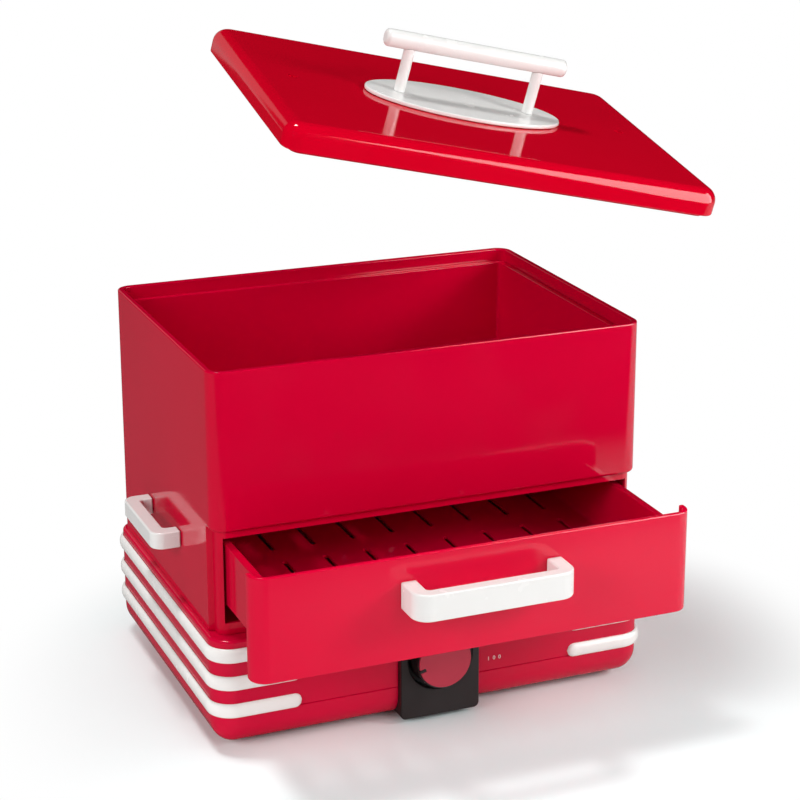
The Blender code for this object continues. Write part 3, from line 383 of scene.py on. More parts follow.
def evenShading(item):
    # smooth but for real edges, with flat faces kept flat beside small rounds
    item.data.shade_smooth()
    item.data.set_sharp_from_angle(angle=math.radians(fineness["smoothAngle"]))
    item.modifiers.new("flatFaces", "WEIGHTED_NORMAL").keep_sharp = True
    settle(item)


def place(item, body):
    item.data.transform(Matrix.Scale(mm, 4) @ restPlace[body])


def finishPiece(name, bm, body, material, nodes, tree=None, values=None):
    item = meshObject(name, bm)
    place(item, body)
    item.data.materials.append(materials[material])
    if tree:
        grow(item, tree, {**values, "Material": materials[material]})
    evenShading(item)
    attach(item, body)
    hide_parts(*nodes)


# Geometry Nodes
def shaping(tree, kind, inputs=None, output=0, **settings):
    return addNode(tree, "GeometryNode" + kind, inputs, **settings).outputs[output]


def joinedGeometry(tree, *parts):
    both = addNode(tree, "GeometryNodeJoinGeometry")
    for part in parts:
        tree.links.new(part, both.inputs[0])
    return both.outputs[0]


def startTree(name, sockets):
    tree = bpy.data.node_groups.new(name, "GeometryNodeTree")
    tree.interface.new_socket("Geometry", in_out="INPUT", socket_type="NodeSocketGeometry")
    tree.interface.new_socket("Geometry", in_out="OUTPUT", socket_type="NodeSocketGeometry")
    for label, kind in {**sockets, "Material": "Material"}.items():
        tree.interface.new_socket(label, in_out="INPUT", socket_type="NodeSocket" + kind)
    return tree, addNode(tree, "NodeGroupInput").outputs


def endTree(tree, geometry, material):
    real = shaping(tree, "RealizeInstances", {"Geometry": geometry})
    painted = shaping(tree, "SetMaterial", {"Geometry": real, "Material": material})
    addNode(tree, "NodeGroupOutput", {"Geometry": painted})
    return tree


def grow(item, tree, values):
    modifier = item.modifiers.new(tree.name, "NODES")
    modifier.node_group = tree
    for socket in tree.interface.items_tree:
        if socket.in_out == "INPUT" and socket.name in values:
            modifier[socket.identifier] = values[socket.name]
    settle(item)


def inMetres(lengths):
    return {name: length * mm for name, length in lengths.items()}


def sweptBandTree():
    # a bowed strip along a path on a wall, with half-round tips
    tree, given = startTree("sweptBand", {"Height": "Float", "Bow": "Float", "Step": "Float", "Back": "Float",
                                          "Sides": "Int", "Least Tip": "Float"})
    path = shaping(tree, "MeshToCurve", {"Mesh": given["Geometry"]})
    path = shaping(tree, "ResampleCurve", {"Curve": path, "Length": given["Step"]}, mode="LENGTH")
    path = shaping(tree, "SetCurveNormal", {"Curve": path}, mode="Z_UP")
    spot = shaping(tree, "SplineParameter", output="Length")
    rest = maths(tree, "SUBTRACT", shaping(tree, "SplineLength", output="Length"), spot)
    tip = maths(tree, "DIVIDE", given["Height"], 2.0)
    part = maths(tree, "DIVIDE", maths(tree, "MINIMUM", spot, rest), tip, use_clamp=True)
    area = maths(tree, "MULTIPLY", part, maths(tree, "SUBTRACT", 2.0, part))
    share = maths(tree, "MAXIMUM", maths(tree, "SQRT", area), given["Least Tip"])
    ring = shaping(tree, "CurvePrimitiveCircle", {"Resolution": given["Sides"], "Radius": 1.0})
    split = addNode(tree, "ShaderNodeSeparateXYZ", {0: shaping(tree, "InputPosition")}).outputs
    out = maths(tree, "MULTIPLY", maths(tree, "MAXIMUM", split["X"], 0.0), given["Bow"])
    spread = shading(tree, "CombineXYZ", {"X": maths(tree, "ADD", out, given["Back"]),
                                          "Y": maths(tree, "MULTIPLY", split["Y"], tip)})
    ring = shaping(tree, "SetPosition", {"Geometry": ring, "Position": spread})
    band = shaping(tree, "CurveToMesh", {"Curve": path, "Profile Curve": ring, "Scale": share,
                                         "Fill Caps": True})
    return endTree(tree, band, given["Material"])


def setAroundTree():
    # the same small part at every point of a mesh, each turned to its own direction
    tree, given = startTree("setAround", {"Part": "Object", "Shank": "Object"})
    part = shaping(tree, "ObjectInfo", {"Object": given["Part"]}, "Geometry")
    shank = shaping(tree, "ObjectInfo", {"Object": given["Shank"]}, "Geometry")
    facing, stretch = (shaping(tree, "InputNamedAttribute", {"Name": name}, data_type="FLOAT_VECTOR")
                       for name in ("facing", "stretch"))
    turn = addNode(tree, "FunctionNodeAlignRotationToVector", {"Vector": facing}, axis="Z").outputs[0]
    points = shaping(tree, "MeshToPoints", {"Mesh": given["Geometry"]})
    heads = shaping(tree, "InstanceOnPoints", {"Points": points, "Instance": part, "Rotation": turn})
    shanks = shaping(tree, "InstanceOnPoints", {"Points": points, "Instance": shank, "Rotation": turn,
                                                "Scale": stretch})
    return endTree(tree, joinedGeometry(tree, heads, shanks), given["Material"])


def punchedFloorTree():
    # a field of round-ended slots punched through a tray's floor
    tree, given = startTree("punchedFloor", {
        "Columns": "Int", "Rows": "Int", "Field Across": "Float", "Field Deep": "Float", "Middle": "Vector",
        "Slot Width": "Float", "Slot Length": "Float", "Depth": "Float", "End Steps": "Int"})
    slot = shaping(tree, "CurvePrimitiveQuadrilateral",
                   {"Width": given["Slot Width"], "Height": given["Slot Length"]}, mode="RECTANGLE")
    # just under half the width, so that the rounds never meet
    endRadius = maths(tree, "MULTIPLY", given["Slot Width"], 0.499)
    slot = shaping(tree, "FilletCurve", {"Curve": slot, "Radius": endRadius, "Count": given["End Steps"]},
                   mode="POLY")
    face = shaping(tree, "FillCurve", {"Curve": slot}, mode="NGONS")
    lift = shaping(tree, "ExtrudeMesh", {"Mesh": face, "Offset Scale": given["Depth"], "Individual": False})
    shell = joinedGeometry(tree, lift, shaping(tree, "FlipFaces", {"Mesh": face}))
    solid = shaping(tree, "MergeByDistance", {"Geometry": shell, "Distance": 0.00001})
    # the grid's outer points are half a pitch inside the field
    lines = {}
    for count, field in (("Columns", "Field Across"), ("Rows", "Field Deep")):
        part = maths(tree, "DIVIDE", maths(tree, "SUBTRACT", given[count], 1.0), given[count])
        lines[count] = maths(tree, "MULTIPLY", given[field], part)
    grid = shaping(tree, "MeshGrid", {"Size X": lines["Columns"], "Size Y": lines["Rows"],
                                      "Vertices X": given["Columns"], "Vertices Y": given["Rows"]})
    grid = shaping(tree, "Transform", {"Geometry": grid, "Translation": given["Middle"]})
    punches = shaping(tree, "InstanceOnPoints", {"Points": grid, "Instance": solid})
    punches = shaping(tree, "RealizeInstances", {"Geometry": punches})
    cut = shaping(tree, "MeshBoolean", {"Mesh 1": given["Geometry"], "Mesh 2": punches}, "Mesh",
                  operation="DIFFERENCE", solver="EXACT")
    return endTree(tree, cut, given["Material"])


sweptBand, setAround, punchedFloor = sweptBandTree(), setAroundTree(), punchedFloorTree()
print("node trees built")

# Chamber housing
housing = {
    "half": 160.0, "depth": 235.0, "bottom": 84.7, "rim": 273.0, "corner": 11.5, "wall": 4.5,
    "rimRound": 1.0,
    "panelBottom": 160.0,       # lower edge of the proud upper front panel
    "panelEdge": 2.5, "panelDraft": 0.2,
    "recess": 4.0,              # how far the front end below the panel is drawn in
    "recessLength": 15.3, "recessStep": 1.5, "recessWall": 2.5,
    "shelf": 166.0, "shelfSlope": 2.0,
    "ledge": 261.3, "ledgeWidth": 2.5, "ledgeEdge": 1.2, "ledgeChamfer": 3.3,
    "flange": 9.5, "flangeThick": 3.3,
    "windowHalf": 152.0, "windowDepth": 11.0, "windowLow": 93.0, "windowHigh": 155.0,
    "railNear": 145.0, "railFar": 157.75, "railFront": 25.0, "railBack": 222.0,
    "railLow": 102.7, "railHigh": 105.7,
}
screw = {"radius": 1.5, "head": 3.6, "headHeight": 1.8, "fit": 0.4, "crossWidth": 0.9, "crossLength": 3.8,
         "crossDepth": 1.1}
middleY = housing["depth"] / 2
dialZ = 48.5


def cornerPlaces(sideInset, endInset):
    side = housing["half"] - sideInset
    return [(x, y) for x in (-side, side) for y in (endInset, housing["depth"] - endInset)]


def screwHoles(seats, depth):
    return cylinders(seats, screw["radius"] + screw["fit"], -overrun, depth, fineness["screwHole"])


fixing = {
    "sideSpread": 35.2, "sideZ": 129.3,                         # side handles
    "flangeSide": 9.25, "flangeZ": 81.4, "bossSide": 22.0, "bottomZ": 4.1, "end": 45.0,
    "drawerX": 53.0, "drawerY": 9.7, "drawerZ": 132.7, "lidX": 50.0, "lidZ": 288.9,
    "controlX": 12.0, "controlY": -4.0,
}


def lifted(places, z):
    return [((x, y, z), upwards) for x, y in places]


def pair(halfSpread, y, z, direction):
    return [((x, y, z), direction) for x in (-halfSpread, halfSpread)]


# every seat: where the screw's head sits, and the way that its shank points
sideSeats = [((side * (housing["half"] - housing["wall"]), middleY + along, fixing["sideZ"]), (side, 0, 0))
             for side in (-1, 1) for along in (-fixing["sideSpread"], fixing["sideSpread"])]
bossPlaces = cornerPlaces(fixing["bossSide"], fixing["end"])
flangeSeats = lifted(cornerPlaces(fixing["flangeSide"], fixing["end"]), fixing["flangeZ"])
baseSeats = lifted(bossPlaces, fixing["bottomZ"])
drawerSeats = pair(fixing["drawerX"], fixing["drawerY"], fixing["drawerZ"], (0, -1, 0))
lidSeats = pair(fixing["lidX"], middleY, fixing["lidZ"], upwards)
controlSeats = pair(fixing["controlX"], fixing["controlY"], dialZ, backwards)


def bodyOutline(inset, setback):
    side = housing["half"] - inset
    frontSide = side - setback
    front = inset + setback
    frontRadius = max(housing["corner"] - inset - setback, leastCorner)
    backRadius = max(housing["corner"] - inset, leastCorner)
    step = housing["recessLength"] + inset
    right = arcPoints(frontSide - frontRadius, front + frontRadius, frontRadius, -90, 0)
    right += [(frontSide, step), (side, step + housing["recessStep"])]
    right += arcPoints(side - backRadius, housing["depth"] - inset - backRadius, backRadius, 0, 90)
    return right + mirrored(right)


def chamberHousing():
    h = housing
    wall, recessWall, shoulder = h["wall"], h["recessWall"], h["wall"] + h["ledgeWidth"]
    flangeInset, flangeTop = wall + h["flange"], h["bottom"] + h["flangeThick"]
    ledgeUnder = h["ledge"] - h["ledgeEdge"]
    # each section: how far the sides come in, how far the front end is set back, height
    sections = [(0, h["recess"], h["bottom"]), (0, h["recess"], h["panelBottom"])]
    sections += [(0, setback, height) for setback, height in
                 rounding(0, h["panelBottom"] + h["panelDraft"], h["panelEdge"], 1, 1, toWall=True)]
    sections += [(inset, 0, height) for inset, height in roundedRim(0, wall, h["rim"], h["rimRound"])]
    sections += [(wall, 0, h["ledge"]), (shoulder, 0, h["ledge"]), (shoulder, 0, ledgeUnder),
                 (wall, 0, ledgeUnder - h["ledgeChamfer"]),
                 (wall, 0, h["shelf"]), (wall, recessWall, h["shelf"] - h["shelfSlope"]),
                 (wall, recessWall, flangeTop), (flangeInset, recessWall, flangeTop),
                 (flangeInset, recessWall, h["bottom"])]
    bm = loft([raised(bodyOutline(inset, setback), height) for inset, setback, height in sections], True)
    rails = blocks(*[((low, h["railFront"], h["railLow"]), (high, h["railBack"], h["railHigh"]))
                     for low, high in ((-h["railFar"], -h["railNear"]), (h["railNear"], h["railFar"]))])
    opening = blocks(((-h["windowHalf"], 0, h["windowLow"]),
                      (h["windowHalf"], h["windowDepth"], h["windowHigh"])))
    bm = carve(carve(bm, rails, operation="UNION"), opening, screwHoles(sideSeats, 8.5),
               screwHoles(flangeSeats, 10.3))
    finishPiece("chamberHousing", bm, "base", "glossRedAbs", ["chamber_housing"])


chamberHousing()
print("chamber housing done")

# Base
base = {
    "half": 163.6, "front": -7.0, "back": 238.6, "corner": 16.0, "bottom": 4.1, "floor": 7.1,
    "parting": 28.5, "partingEdge": 0.4, "top": 84.4, "edge": 2.0, "lowerEdge": 18.0, "wall": 3.0,
    "deck": 3.0,
    "bossRadius": 4.5, "bossHeight": 75.5, "deckFit": 2.5, "glandX": 60.0, "glandZ": 43.0, "glandRadius": 5.5,
    "vents": 6, "ventPitch": 10.0, "ventWidth": 3.0, "ventLength": 30.0, "ventDepth": 12.0,
    "footSide": 38.0, "footFront": 27.0, "pegRadius": 4.3, "pegDepth": 7.0,
}
deck = {"half": 118.0, "front": 34.0, "back": 204.0, "corner": 14.0}
bezel = {"half": 30.0, "face": -12.0, "back": 4.0, "top": 78.9, "corner": 4.0, "edge": 1.0,
         "recessRadius": 24.5, "recessDepth": 8.0, "recessEdge": 0.5, "rim": 4.0, "floor": 4.0, "bore": 3.6,
         "boreDepth": 20.0}


def bezelPocket():
    half = bezel["half"] + gap
    return blocks(((-half, bezel["face"] - overrun, 0), (half, bezel["back"] + gap, bezel["top"] + gap)))


def baseShell():
    b = base
    bottom, deckUnder = b["parting"] + gap / 2, b["top"] - b["deck"]
    sections = [(base, b["partingEdge"], bottom), (base, 0, bottom + b["partingEdge"])]
    sections += [(base, inset, height) for inset, height in rounding(0, b["top"], b["edge"], 1, -1)]
    sections += [(deck, -b["deckFit"], b["top"]), (deck, -b["deckFit"], deckUnder),
                 (base, b["wall"], deckUnder), (base, b["wall"], bottom)]
    bm = loft([raised(drawnIn(plan, inset), height) for plan, inset, height in sections], True)
    bossSeats = lifted(bossPlaces, b["floor"] + gap)
    bosses = cylinders(bossSeats, b["bossRadius"], 0, b["bossHeight"], 24)
    bore = cylinders([((b["glandX"], b["back"], b["glandZ"]), backwards)], b["glandRadius"], -7, overrun)
    bm = carve(carve(bm, bosses, operation="UNION"), screwHoles(bossSeats, 8.4), screwHoles(flangeSeats, 7),
               bore, bezelPocket())
    finishPiece("baseShell", bm, "base", "glossRedBaseAbs", ["base_shell"])


def basePan():
    b = base
    top = b["parting"] - gap / 2
    sections = rounding(0, b["bottom"], b["lowerEdge"], 1, 1, fineness["bigEdge"], True)
    sections += [(0, top - b["partingEdge"]), (b["partingEdge"], top), (b["wall"], top)]
    sections += rounding(b["wall"], b["floor"], b["lowerEdge"] - b["wall"], 1, 1)
    pegSeats = lifted(cornerPlaces(b["footSide"], b["footFront"]), b["bottom"])
    pegs = cylinders(pegSeats, b["pegRadius"], -overrun, b["pegDepth"])
    vents = bmesh.new()
    straight, radius = (b["ventLength"] - b["ventWidth"]) / 2, b["ventWidth"] / 2
    for number in range(b["vents"]):
        x = (number - (b["vents"] - 1) / 2) * b["ventPitch"]
        outline = arcPoints(x, middleY + straight, radius, 0, 180, 6)
        outline += arcPoints(x, middleY - straight, radius, 180, 360, 6)
        prism(raised(outline, 0), (0, 0, b["ventDepth"]), vents)
    bm = carve(lofted(base, sections), screwHoles(baseSeats, 7), pegs, vents, bezelPocket())
    finishPiece("basePan", bm, "base", "glossRedBaseAbs", ["base_pan"])


baseShell()
basePan()
print("base done")

# White strips round both ends of the base
strip = {"height": 10.5, "proud": 2.5, "pitch": 20.4, "first": 73.5, "end": 102.0, "step": 1.0, "sides": 28,
         "leastTip": 0.03}


def strips():
    s = strip
    radius = base["corner"]
    path = [(-s["end"], base["front"])]
    path += arcPoints(radius - base["half"], base["front"] + radius, radius, 270, 180, 16)
    path += arcPoints(radius - base["half"], base["back"] - radius, radius, 180, 90, 16)
    path += [(-s["end"], base["back"])]
    lengths = {"Height": s["height"], "Bow": s["proud"], "Step": s["step"], "Back": gap}
    values = {**inMetres(lengths), "Sides": s["sides"], "Least Tip": s["leastTip"]}
    for end, line in (("Left", path[::-1]), ("Right", [(-x, y) for x, y in path])):
        for row, level in enumerate(("Upper", "Middle", "Lower")):
            bm = bmesh.new()
            points = [bm.verts.new((x, y, s["first"] - row * s["pitch"])) for x, y in line]
            for first, second in zip(points, points[1:]):
                bm.edges.new((first, second))
            # the strips' white is lighter than the trim's only as painted light
            finishPiece("strip" + end + level, bm, "base", "brightWhiteAbs",
                        [f"strip_{end.lower()}_{level.lower()}"], sweptBand, values)


strips()
print("strips done")


# Dial
def dialBezel():
    z = bezel
    outline = roundedOutline(z["half"], base["bottom"], z["top"], z["corner"])
    bm = prism([Vector((x, z["face"], up)) for x, up in outline], (0, z["back"] - z["face"], 0))
    roundEdges(bm, z["edge"])
    axis = (0, z["face"], dialZ)
    # a fine groove runs round the recess's mouth
    lip = rounding(z["recessRadius"], z["recessEdge"], z["recessEdge"], 1, -1, fineness["smallEdge"], True)
    recess = turned([(lip[0][0], -overrun), *lip, (z["recessRadius"], z["recessDepth"])], axis, backwards)
    inner = z["half"] - z["rim"]
    hollow = blocks(((-inner, z["face"] + z["recessDepth"] + z["floor"], base["bottom"] + z["rim"]),
                     (inner, z["back"] + overrun, z["top"] - z["rim"])))
    bore = cylinders([(axis, backwards)], z["bore"], 0, z["boreDepth"])
    bm = carve(bm, recess, hollow, bore, screwHoles(controlSeats, 8))
    finishPiece("dialBezel", bm, "base", "satinBlackPolycarbonate", ["dial_bezel"])


knob = {
    "back": -5.4, "radius": 21.8, "backEdge": 0.4, "frontRadius": 20.6, "front": 8.3, "edge": 0.5,
    "faceRadius": 19.6, "faceBack": 7.1, "faceFront": 9.1, "bore": 3.3, "boreEnd": 5.6,
    "pointerWidth": 2.0, "pointerLength": 4.2, "pointerProud": 0.4, "pointerSunk": 0.4, "pointerEdge": 0.25,
    "pointerTurn": 195 / 360,   # turn of the pointer at rest, from straight right over the top
}


def atPointer(bm, axis):
    # turns a piece drawn at the dial's right to where the pointer stands
    turn = Matrix.Rotation(-math.tau * knob["pointerTurn"], 3, "Y")
    bmesh.ops.rotate(bm, cent=(0, 0, 0), matrix=turn, verts=bm.verts)
    bmesh.ops.translate(bm, verts=bm.verts, vec=axis)
    return bm


def dialKnob():
    k = knob
    axis, out = Vector((0, bezel["face"], dialZ)), (0, -1, 0)
    seat, tip = k["faceRadius"] + gap, k["faceRadius"] - k["pointerLength"]
    bm = turned([(k["radius"] - k["backEdge"], k["back"]), (k["radius"], k["back"] + k["backEdge"]),
                 (k["frontRadius"], k["front"]), (seat, k["front"]), (seat, k["faceBack"] - gap)], axis, out)
    roundEdges(bm, k["edge"])
    half = k["pointerWidth"] / 2
    pointer = blocks(((tip, -k["faceFront"] - k["pointerProud"], -half),
                      (seat + gap, gap - k["faceBack"] + k["pointerSunk"], half)))
    roundEdges(pointer, k["pointerEdge"], 2)
    bm = carve(bm, atPointer(pointer, axis), operation="UNION")
    bm = carve(bm, cylinders([(axis, out)], k["bore"], k["back"] - overrun, k["boreEnd"]))
    finishPiece("dialKnob", bm, "knob", "satinBlackPolycarbonate", ["dial_knob"])

    bm = cylinders([(axis, out)], k["faceRadius"], k["faceBack"], k["faceFront"], fineness["turn"])
    roundEdges(bm, k["edge"])
    half += gap
    notch = blocks(((tip - gap, -k["faceFront"] - overrun, -half),
                    (seat + overrun, overrun - k["faceBack"], half)))
    bm = carve(bm, atPointer(notch, axis))
    finishPiece("knobFace", bm, "knob", "satinRedAbs", ["knob_face"])


dialBezel()
dialKnob()
print("dial done")

# Drawer, drawn shut
drawer = {"half": 160.0, "corner": 11.5, "thick": 3.7, "returnDepth": 15.0, "low": 85.2, "high": 159.2,
          "edge": 1.0}
tray = {
    "half": 150.0, "front": 4.0, "back": 226.0, "corner": 6.0, "rim": 150.0, "low": 106.0, "rimWidth": 5.7,
    "rimThick": 2.0, "rimEdge": 1.0, "wall": 2.0, "floorUnder": 108.0, "floorTop": 110.0, "fillet": 3.0,
    "slotColumns": 9, "slotRows": 3, "slotWidth": 3.8, "slotLength": 44.0, "slotMargin": 11.7,
}
drawerGrip = {"length": 117.0, "height": 19.3, "reach": 29.0, "arm": 11.0, "bar": 9.5, "corner": 12.0}
sideGrip = {"length": 81.0, "height": 12.4, "reach": 20.3, "arm": 10.6, "bar": 10.5, "corner": 9.0}
gripEdge = 1.4
gripInner = 3.0
punch = {"overrun": 2.0, "endSteps": 5}


def gripOutline(grip):
    half, reach, corner = grip["length"] / 2, grip["reach"], grip["corner"]
    inside, depth = half - grip["arm"], reach - grip["bar"]
    outer = arcPoints(half - corner, reach - corner, corner, 90, 0) + [(half, 0)]
    inner = [(inside, 0)] + arcPoints(inside - gripInner, depth - gripInner, gripInner, 0, 90,
                                      fineness["innerCorner"])
    return mirrored(outer) + outer + inner + mirrored(inner)


def drawerFront():
    d = drawer
    side, inner = d["half"] - d["corner"], d["corner"] - d["thick"]
    right = [(d["half"], d["returnDepth"])] + arcPoints(side, d["corner"], d["corner"], 0, -90)
    inside = arcPoints(side, d["corner"], inner, 270, 360) + [(d["half"] - d["thick"], d["returnDepth"])]
    outline = raised(right + mirrored(right) + mirrored(inside) + inside, d["low"])
    bm = roundEdges(prism(outline, (0, 0, d["high"] - d["low"])), d["edge"])
    bm = carve(bm, screwHoles(drawerSeats, 14))
    finishPiece("drawerFront", bm, "drawer", "glossRedDrawerAbs", ["drawer_front"])


def slottedPiece(name, bm, body, node, t):
    # finishes a tray and punches the slots through its floor
    middle = restPlace[body] @ Vector((0, (t["front"] + t["back"]) / 2, t["floorUnder"] - punch["overrun"]))
    lengths = {
        "Field Across": 2 * (t["half"] - t["slotMargin"]), "Slot Width": t["slotWidth"],
        "Field Deep": t["back"] - t["front"] - 2 * t["slotMargin"], "Slot Length": t["slotLength"],
        "Depth": t["floorTop"] - t["floorUnder"] + 2 * punch["overrun"], "Middle": middle}
    finishPiece(name, bm, body, "glossRedAbs", [node], punchedFloor, {
        **inMetres(lengths), "Columns": t["slotColumns"], "Rows": t["slotRows"],
        "End Steps": punch["endSteps"]})


def drawerTray():
    t = tray
    inner, rimUnder = t["rimWidth"] - t["wall"], t["rim"] - t["rimThick"]
    sections = rounding(inner, t["floorUnder"], t["fillet"], 1, 1, toWall=True)
    sections += [(inner, rimUnder), (t["wall"], rimUnder), (t["wall"], t["low"]), (0, t["low"])]
    sections += roundedRim(0, t["rimWidth"], t["rim"], t["rimEdge"])
    sections += rounding(t["rimWidth"], t["floorTop"], t["fillet"], 1, 1)
    bm = carve(lofted(tray, sections), screwHoles(drawerSeats, 9.7))
    slottedPiece("drawerTray", bm, "drawer", "drawer_tray", tray)


def handles():
    low, tall = fixing["drawerZ"] - drawerGrip["height"] / 2, (0, 0, drawerGrip["height"])
    bm = prism([Vector((along, -gap - out, low)) for along, out in gripOutline(drawerGrip)], tall)
    bm = carve(roundEdges(bm, gripEdge), screwHoles(drawerSeats, 18.4))
    finishPiece("drawerHandle", bm, "drawer", "glossWhiteAbs", ["drawer_handle"])
    low, tall = fixing["sideZ"] - sideGrip["height"] / 2, (0, 0, sideGrip["height"])
    for side, name in ((-1, "Left"), (1, "Right")):
        bm = prism([Vector((side * (housing["half"] + gap + out), middleY + along, low))
                    for along, out in gripOutline(sideGrip)], tall)
        holes = screwHoles([seat for seat in sideSeats if seat[1][0] == side], 13.2)
        bm = carve(roundEdges(bm, gripEdge), holes)
        finishPiece("sideHandle" + name, bm, "base", "glossWhiteAbs", ["side_handle_" + name.lower()])


drawerFront()
drawerTray()
handles()
print("drawer and handles done")

# Bun tray
bunTray = {
    "half": housing["half"], "front": 0.0, "back": housing["depth"], "corner": housing["corner"],
    "wall": 7.6, "thick": 2.2, "rim": 5.1, "rimUnder": 261.6, "rimTop": 263.6, "rimEdge": 0.9,
    "foot": 9.8, "floorUnder": 168.0, "floorTop": 170.2, "fillet": 6.0,
    "slotColumns": 7, "slotRows": 4, "slotWidth": 3.8, "slotLength": 30.0, "slotMargin": 21.8,
}


def bunTrayShell():
    t = bunTray
    sections = rounding(t["foot"], t["floorUnder"], t["fillet"], 1, 1, toWall=True)
    sections += [(t["wall"], t["rimUnder"]), (t["rim"], t["rimUnder"])]
    sections += roundedRim(t["rim"], t["wall"] + t["thick"], t["rimTop"], t["rimEdge"])
    sections += rounding(t["foot"] + t["thick"], t["floorTop"], t["fillet"] - t["thick"], 1, 1)
    bm = lofted(bunTray, sections)
    slottedPiece("bunTrayShell", bm, "bun_tray_body", "bun_tray", bunTray)


bunTrayShell()
print("bun tray done")

# Lid, drawn on its seat
overhang = 1.0
lid = {
    "half": housing["half"] + overhang, "front": -overhang, "back": housing["depth"] + overhang,
    "corner": 13.5, "seat": 273.3, "seatEdge": 1.0, "top": 291.9, "edge": 10.0, "wall": 3.0, "fillet": 3.0,
    "lipOuter": 7.3, "lipInner": 9.3, "lipFoot": 270.8, "grooveTop": 285.9,
    "ventX": 128.0, "ventY": 121.5, "ventRadius": 3.5, "ventDepth": 7.0,
}
oval = {"length": 150.0, "width": 78.0, "low": 292.2, "thick": 3.0, "edge": 1.0, "sides": 128}
bar = {"postRadius": 4.0, "postFoot": 295.5, "z": 332.3, "radius": 6.35, "length": 140.0, "round": 3.0}
postScrew = 14.6


def lidPieces():
    s = lid
    ceiling = s["top"] - s["wall"]
    sections = rounding(0, s["top"], s["edge"], 1, -1, fineness["bigEdge"], True)
    sections += rounding(0, s["seat"], s["seatEdge"], 1, 1, fineness["smallEdge"])
    sections += [(s["wall"], s["seat"]), (s["wall"], s["grooveTop"]), (s["lipOuter"], s["grooveTop"]),
                 (s["lipOuter"], s["lipFoot"]), (s["lipInner"], s["lipFoot"])]
    sections += rounding(s["lipInner"], ceiling, s["fillet"], 1, -1)
    ventSeats = pair(s["ventX"], s["ventY"], ceiling, upwards)
    vents = cylinders(ventSeats, s["ventRadius"], -overrun, s["ventDepth"])
    bm = carve(lofted(lid, sections), vents, screwHoles(lidSeats, 7))
    # the lid's red is set apart as painted light, for the light that falls on the lid
    finishPiece("lidShell", bm, "lid", "glossRedLidAbs", ["lid_shell"])

    angles = [math.tau * side / oval["sides"] for side in range(oval["sides"])]
    outline = [(oval["length"] / 2 * math.cos(angle), middleY + oval["width"] / 2 * math.sin(angle))
               for angle in angles]
    bm = roundEdges(prism(raised(outline, oval["low"]), (0, 0, oval["thick"])), oval["edge"])
    bm = carve(bm, screwHoles(lidSeats, postScrew))
    finishPiece("lidOvalPlate", bm, "lid", "glossWhiteAbs", ["lid_oval_plate"])

    barSeat, half = ((0, middleY, bar["z"]), rightwards), bar["length"] / 2
    for (seat, direction), name in zip(lidSeats, ("Left", "Right")):
        bm = cylinders([((seat[0], middleY, bar["postFoot"]), upwards)], bar["postRadius"], 0,
                       bar["z"] - bar["postFoot"], fineness["turn"])
        saddle = cylinders([barSeat], bar["radius"] + gap, -half, half, fineness["turn"])
        bm = carve(bm, screwHoles([(seat, direction)], postScrew), saddle)
        finishPiece("lidPost" + name, bm, "lid", "glossWhiteAbs", ["lid_post_" + name.lower()])

    profile = rounding(bar["radius"], -half, bar["round"], -1, 1, toWall=True)
    profile += rounding(bar["radius"], half, bar["round"], -1, -1)
    finishPiece("lidBar", turned(profile, *barSeat), "lid", "glossWhiteAbs", ["lid_bar"])


lidPieces()
print("lid done")

# Feet, screws and gland
foot = {"radius": 12.0, "edge": 0.8, "height": 3.8, "peg": 4.0, "pegTop": 7.3, "round": 0.3, "roundAngle": 30,
        "rim": 5.0, "dimpleEdge": 0.6, "dimple": 1.2, "sides": 48}
gland = {"collar": 7.8, "collarThick": 2.0, "tip": 4.6, "reach": 8.0, "bore": 3.4, "inside": 3.3,
         "edge": 0.35, "sides": 48}
shankSides = 20


def partObject(name, bm):
    # a small part drawn in millimetres about its own seat, for the instance tree
    item = meshObject(name, bm)
    item.data.transform(Matrix.Scale(mm, 4))
    return item


def scatter(name, seats, body, material, nodes, parts):
    bm = bmesh.new()
    facing = bm.verts.layers.float_vector.new("facing")
    stretch = bm.verts.layers.float_vector.new("stretch")
    for seat, direction, length in seats:
        spot = bm.verts.new(seat)
        spot[facing] = restPlace[body].to_3x3() @ Vector(direction)
        spot[stretch] = Vector((1, 1, length))
    finishPiece(name, bm, body, material, nodes, setAround, {"Part": parts[0], "Shank": parts[1]})


def feet():
    f = foot
    bm = turned([(f["radius"] - f["edge"], 0), (f["radius"], f["edge"]), (f["radius"], f["height"]),
                 (f["peg"], f["height"]), (f["peg"], f["pegTop"])], sides=f["sides"])
    roundEdges(bm, f["round"], 2, f["roundAngle"])
    wide = f["radius"] - f["rim"]
    dimple = turned([(wide, -overrun), (wide, f["dimpleEdge"]), (wide - f["dimpleEdge"], f["dimple"])],
                    sides=f["sides"])
    parts = partObject("footPart", carve(bm, dimple)), partObject("nothing", bmesh.new())
    seats = [((x, y, 0), upwards, 1) for x, y in cornerPlaces(base["footSide"], base["footFront"])]
    scatter("rubberFeet", seats, "base", "mouldedRubber", [f"rubber_foot_{n}" for n in range(1, 5)],
            parts)
    for part in parts:
        bpy.data.objects.remove(part)


def screwParts():
    s = screw
    top = -s["headHeight"]
    # a domed head with a cross cut in it, and a shank of unit length with a tapered tip
    head = turned([(s["head"] * 0.6, top - gap), (s["head"] * 0.88, top * 0.8), (s["head"], top * 0.45),
                   (s["head"], -gap), (s["radius"], -gap)], sides=fineness["bore"])
    thin, long = s["crossWidth"] / 2, s["crossLength"] / 2
    for wide, deep in ((thin, long), (long, thin)):
        head = carve(head, blocks(((-wide, -deep, top - 2), (wide, deep, s["crossDepth"] + top - gap))))
    shank = turned([(s["radius"], 0), (s["radius"], 0.94), (s["radius"] * 0.6, 1)], sides=shankSides)
    return partObject("headPart", head), partObject("shankPart", shank)


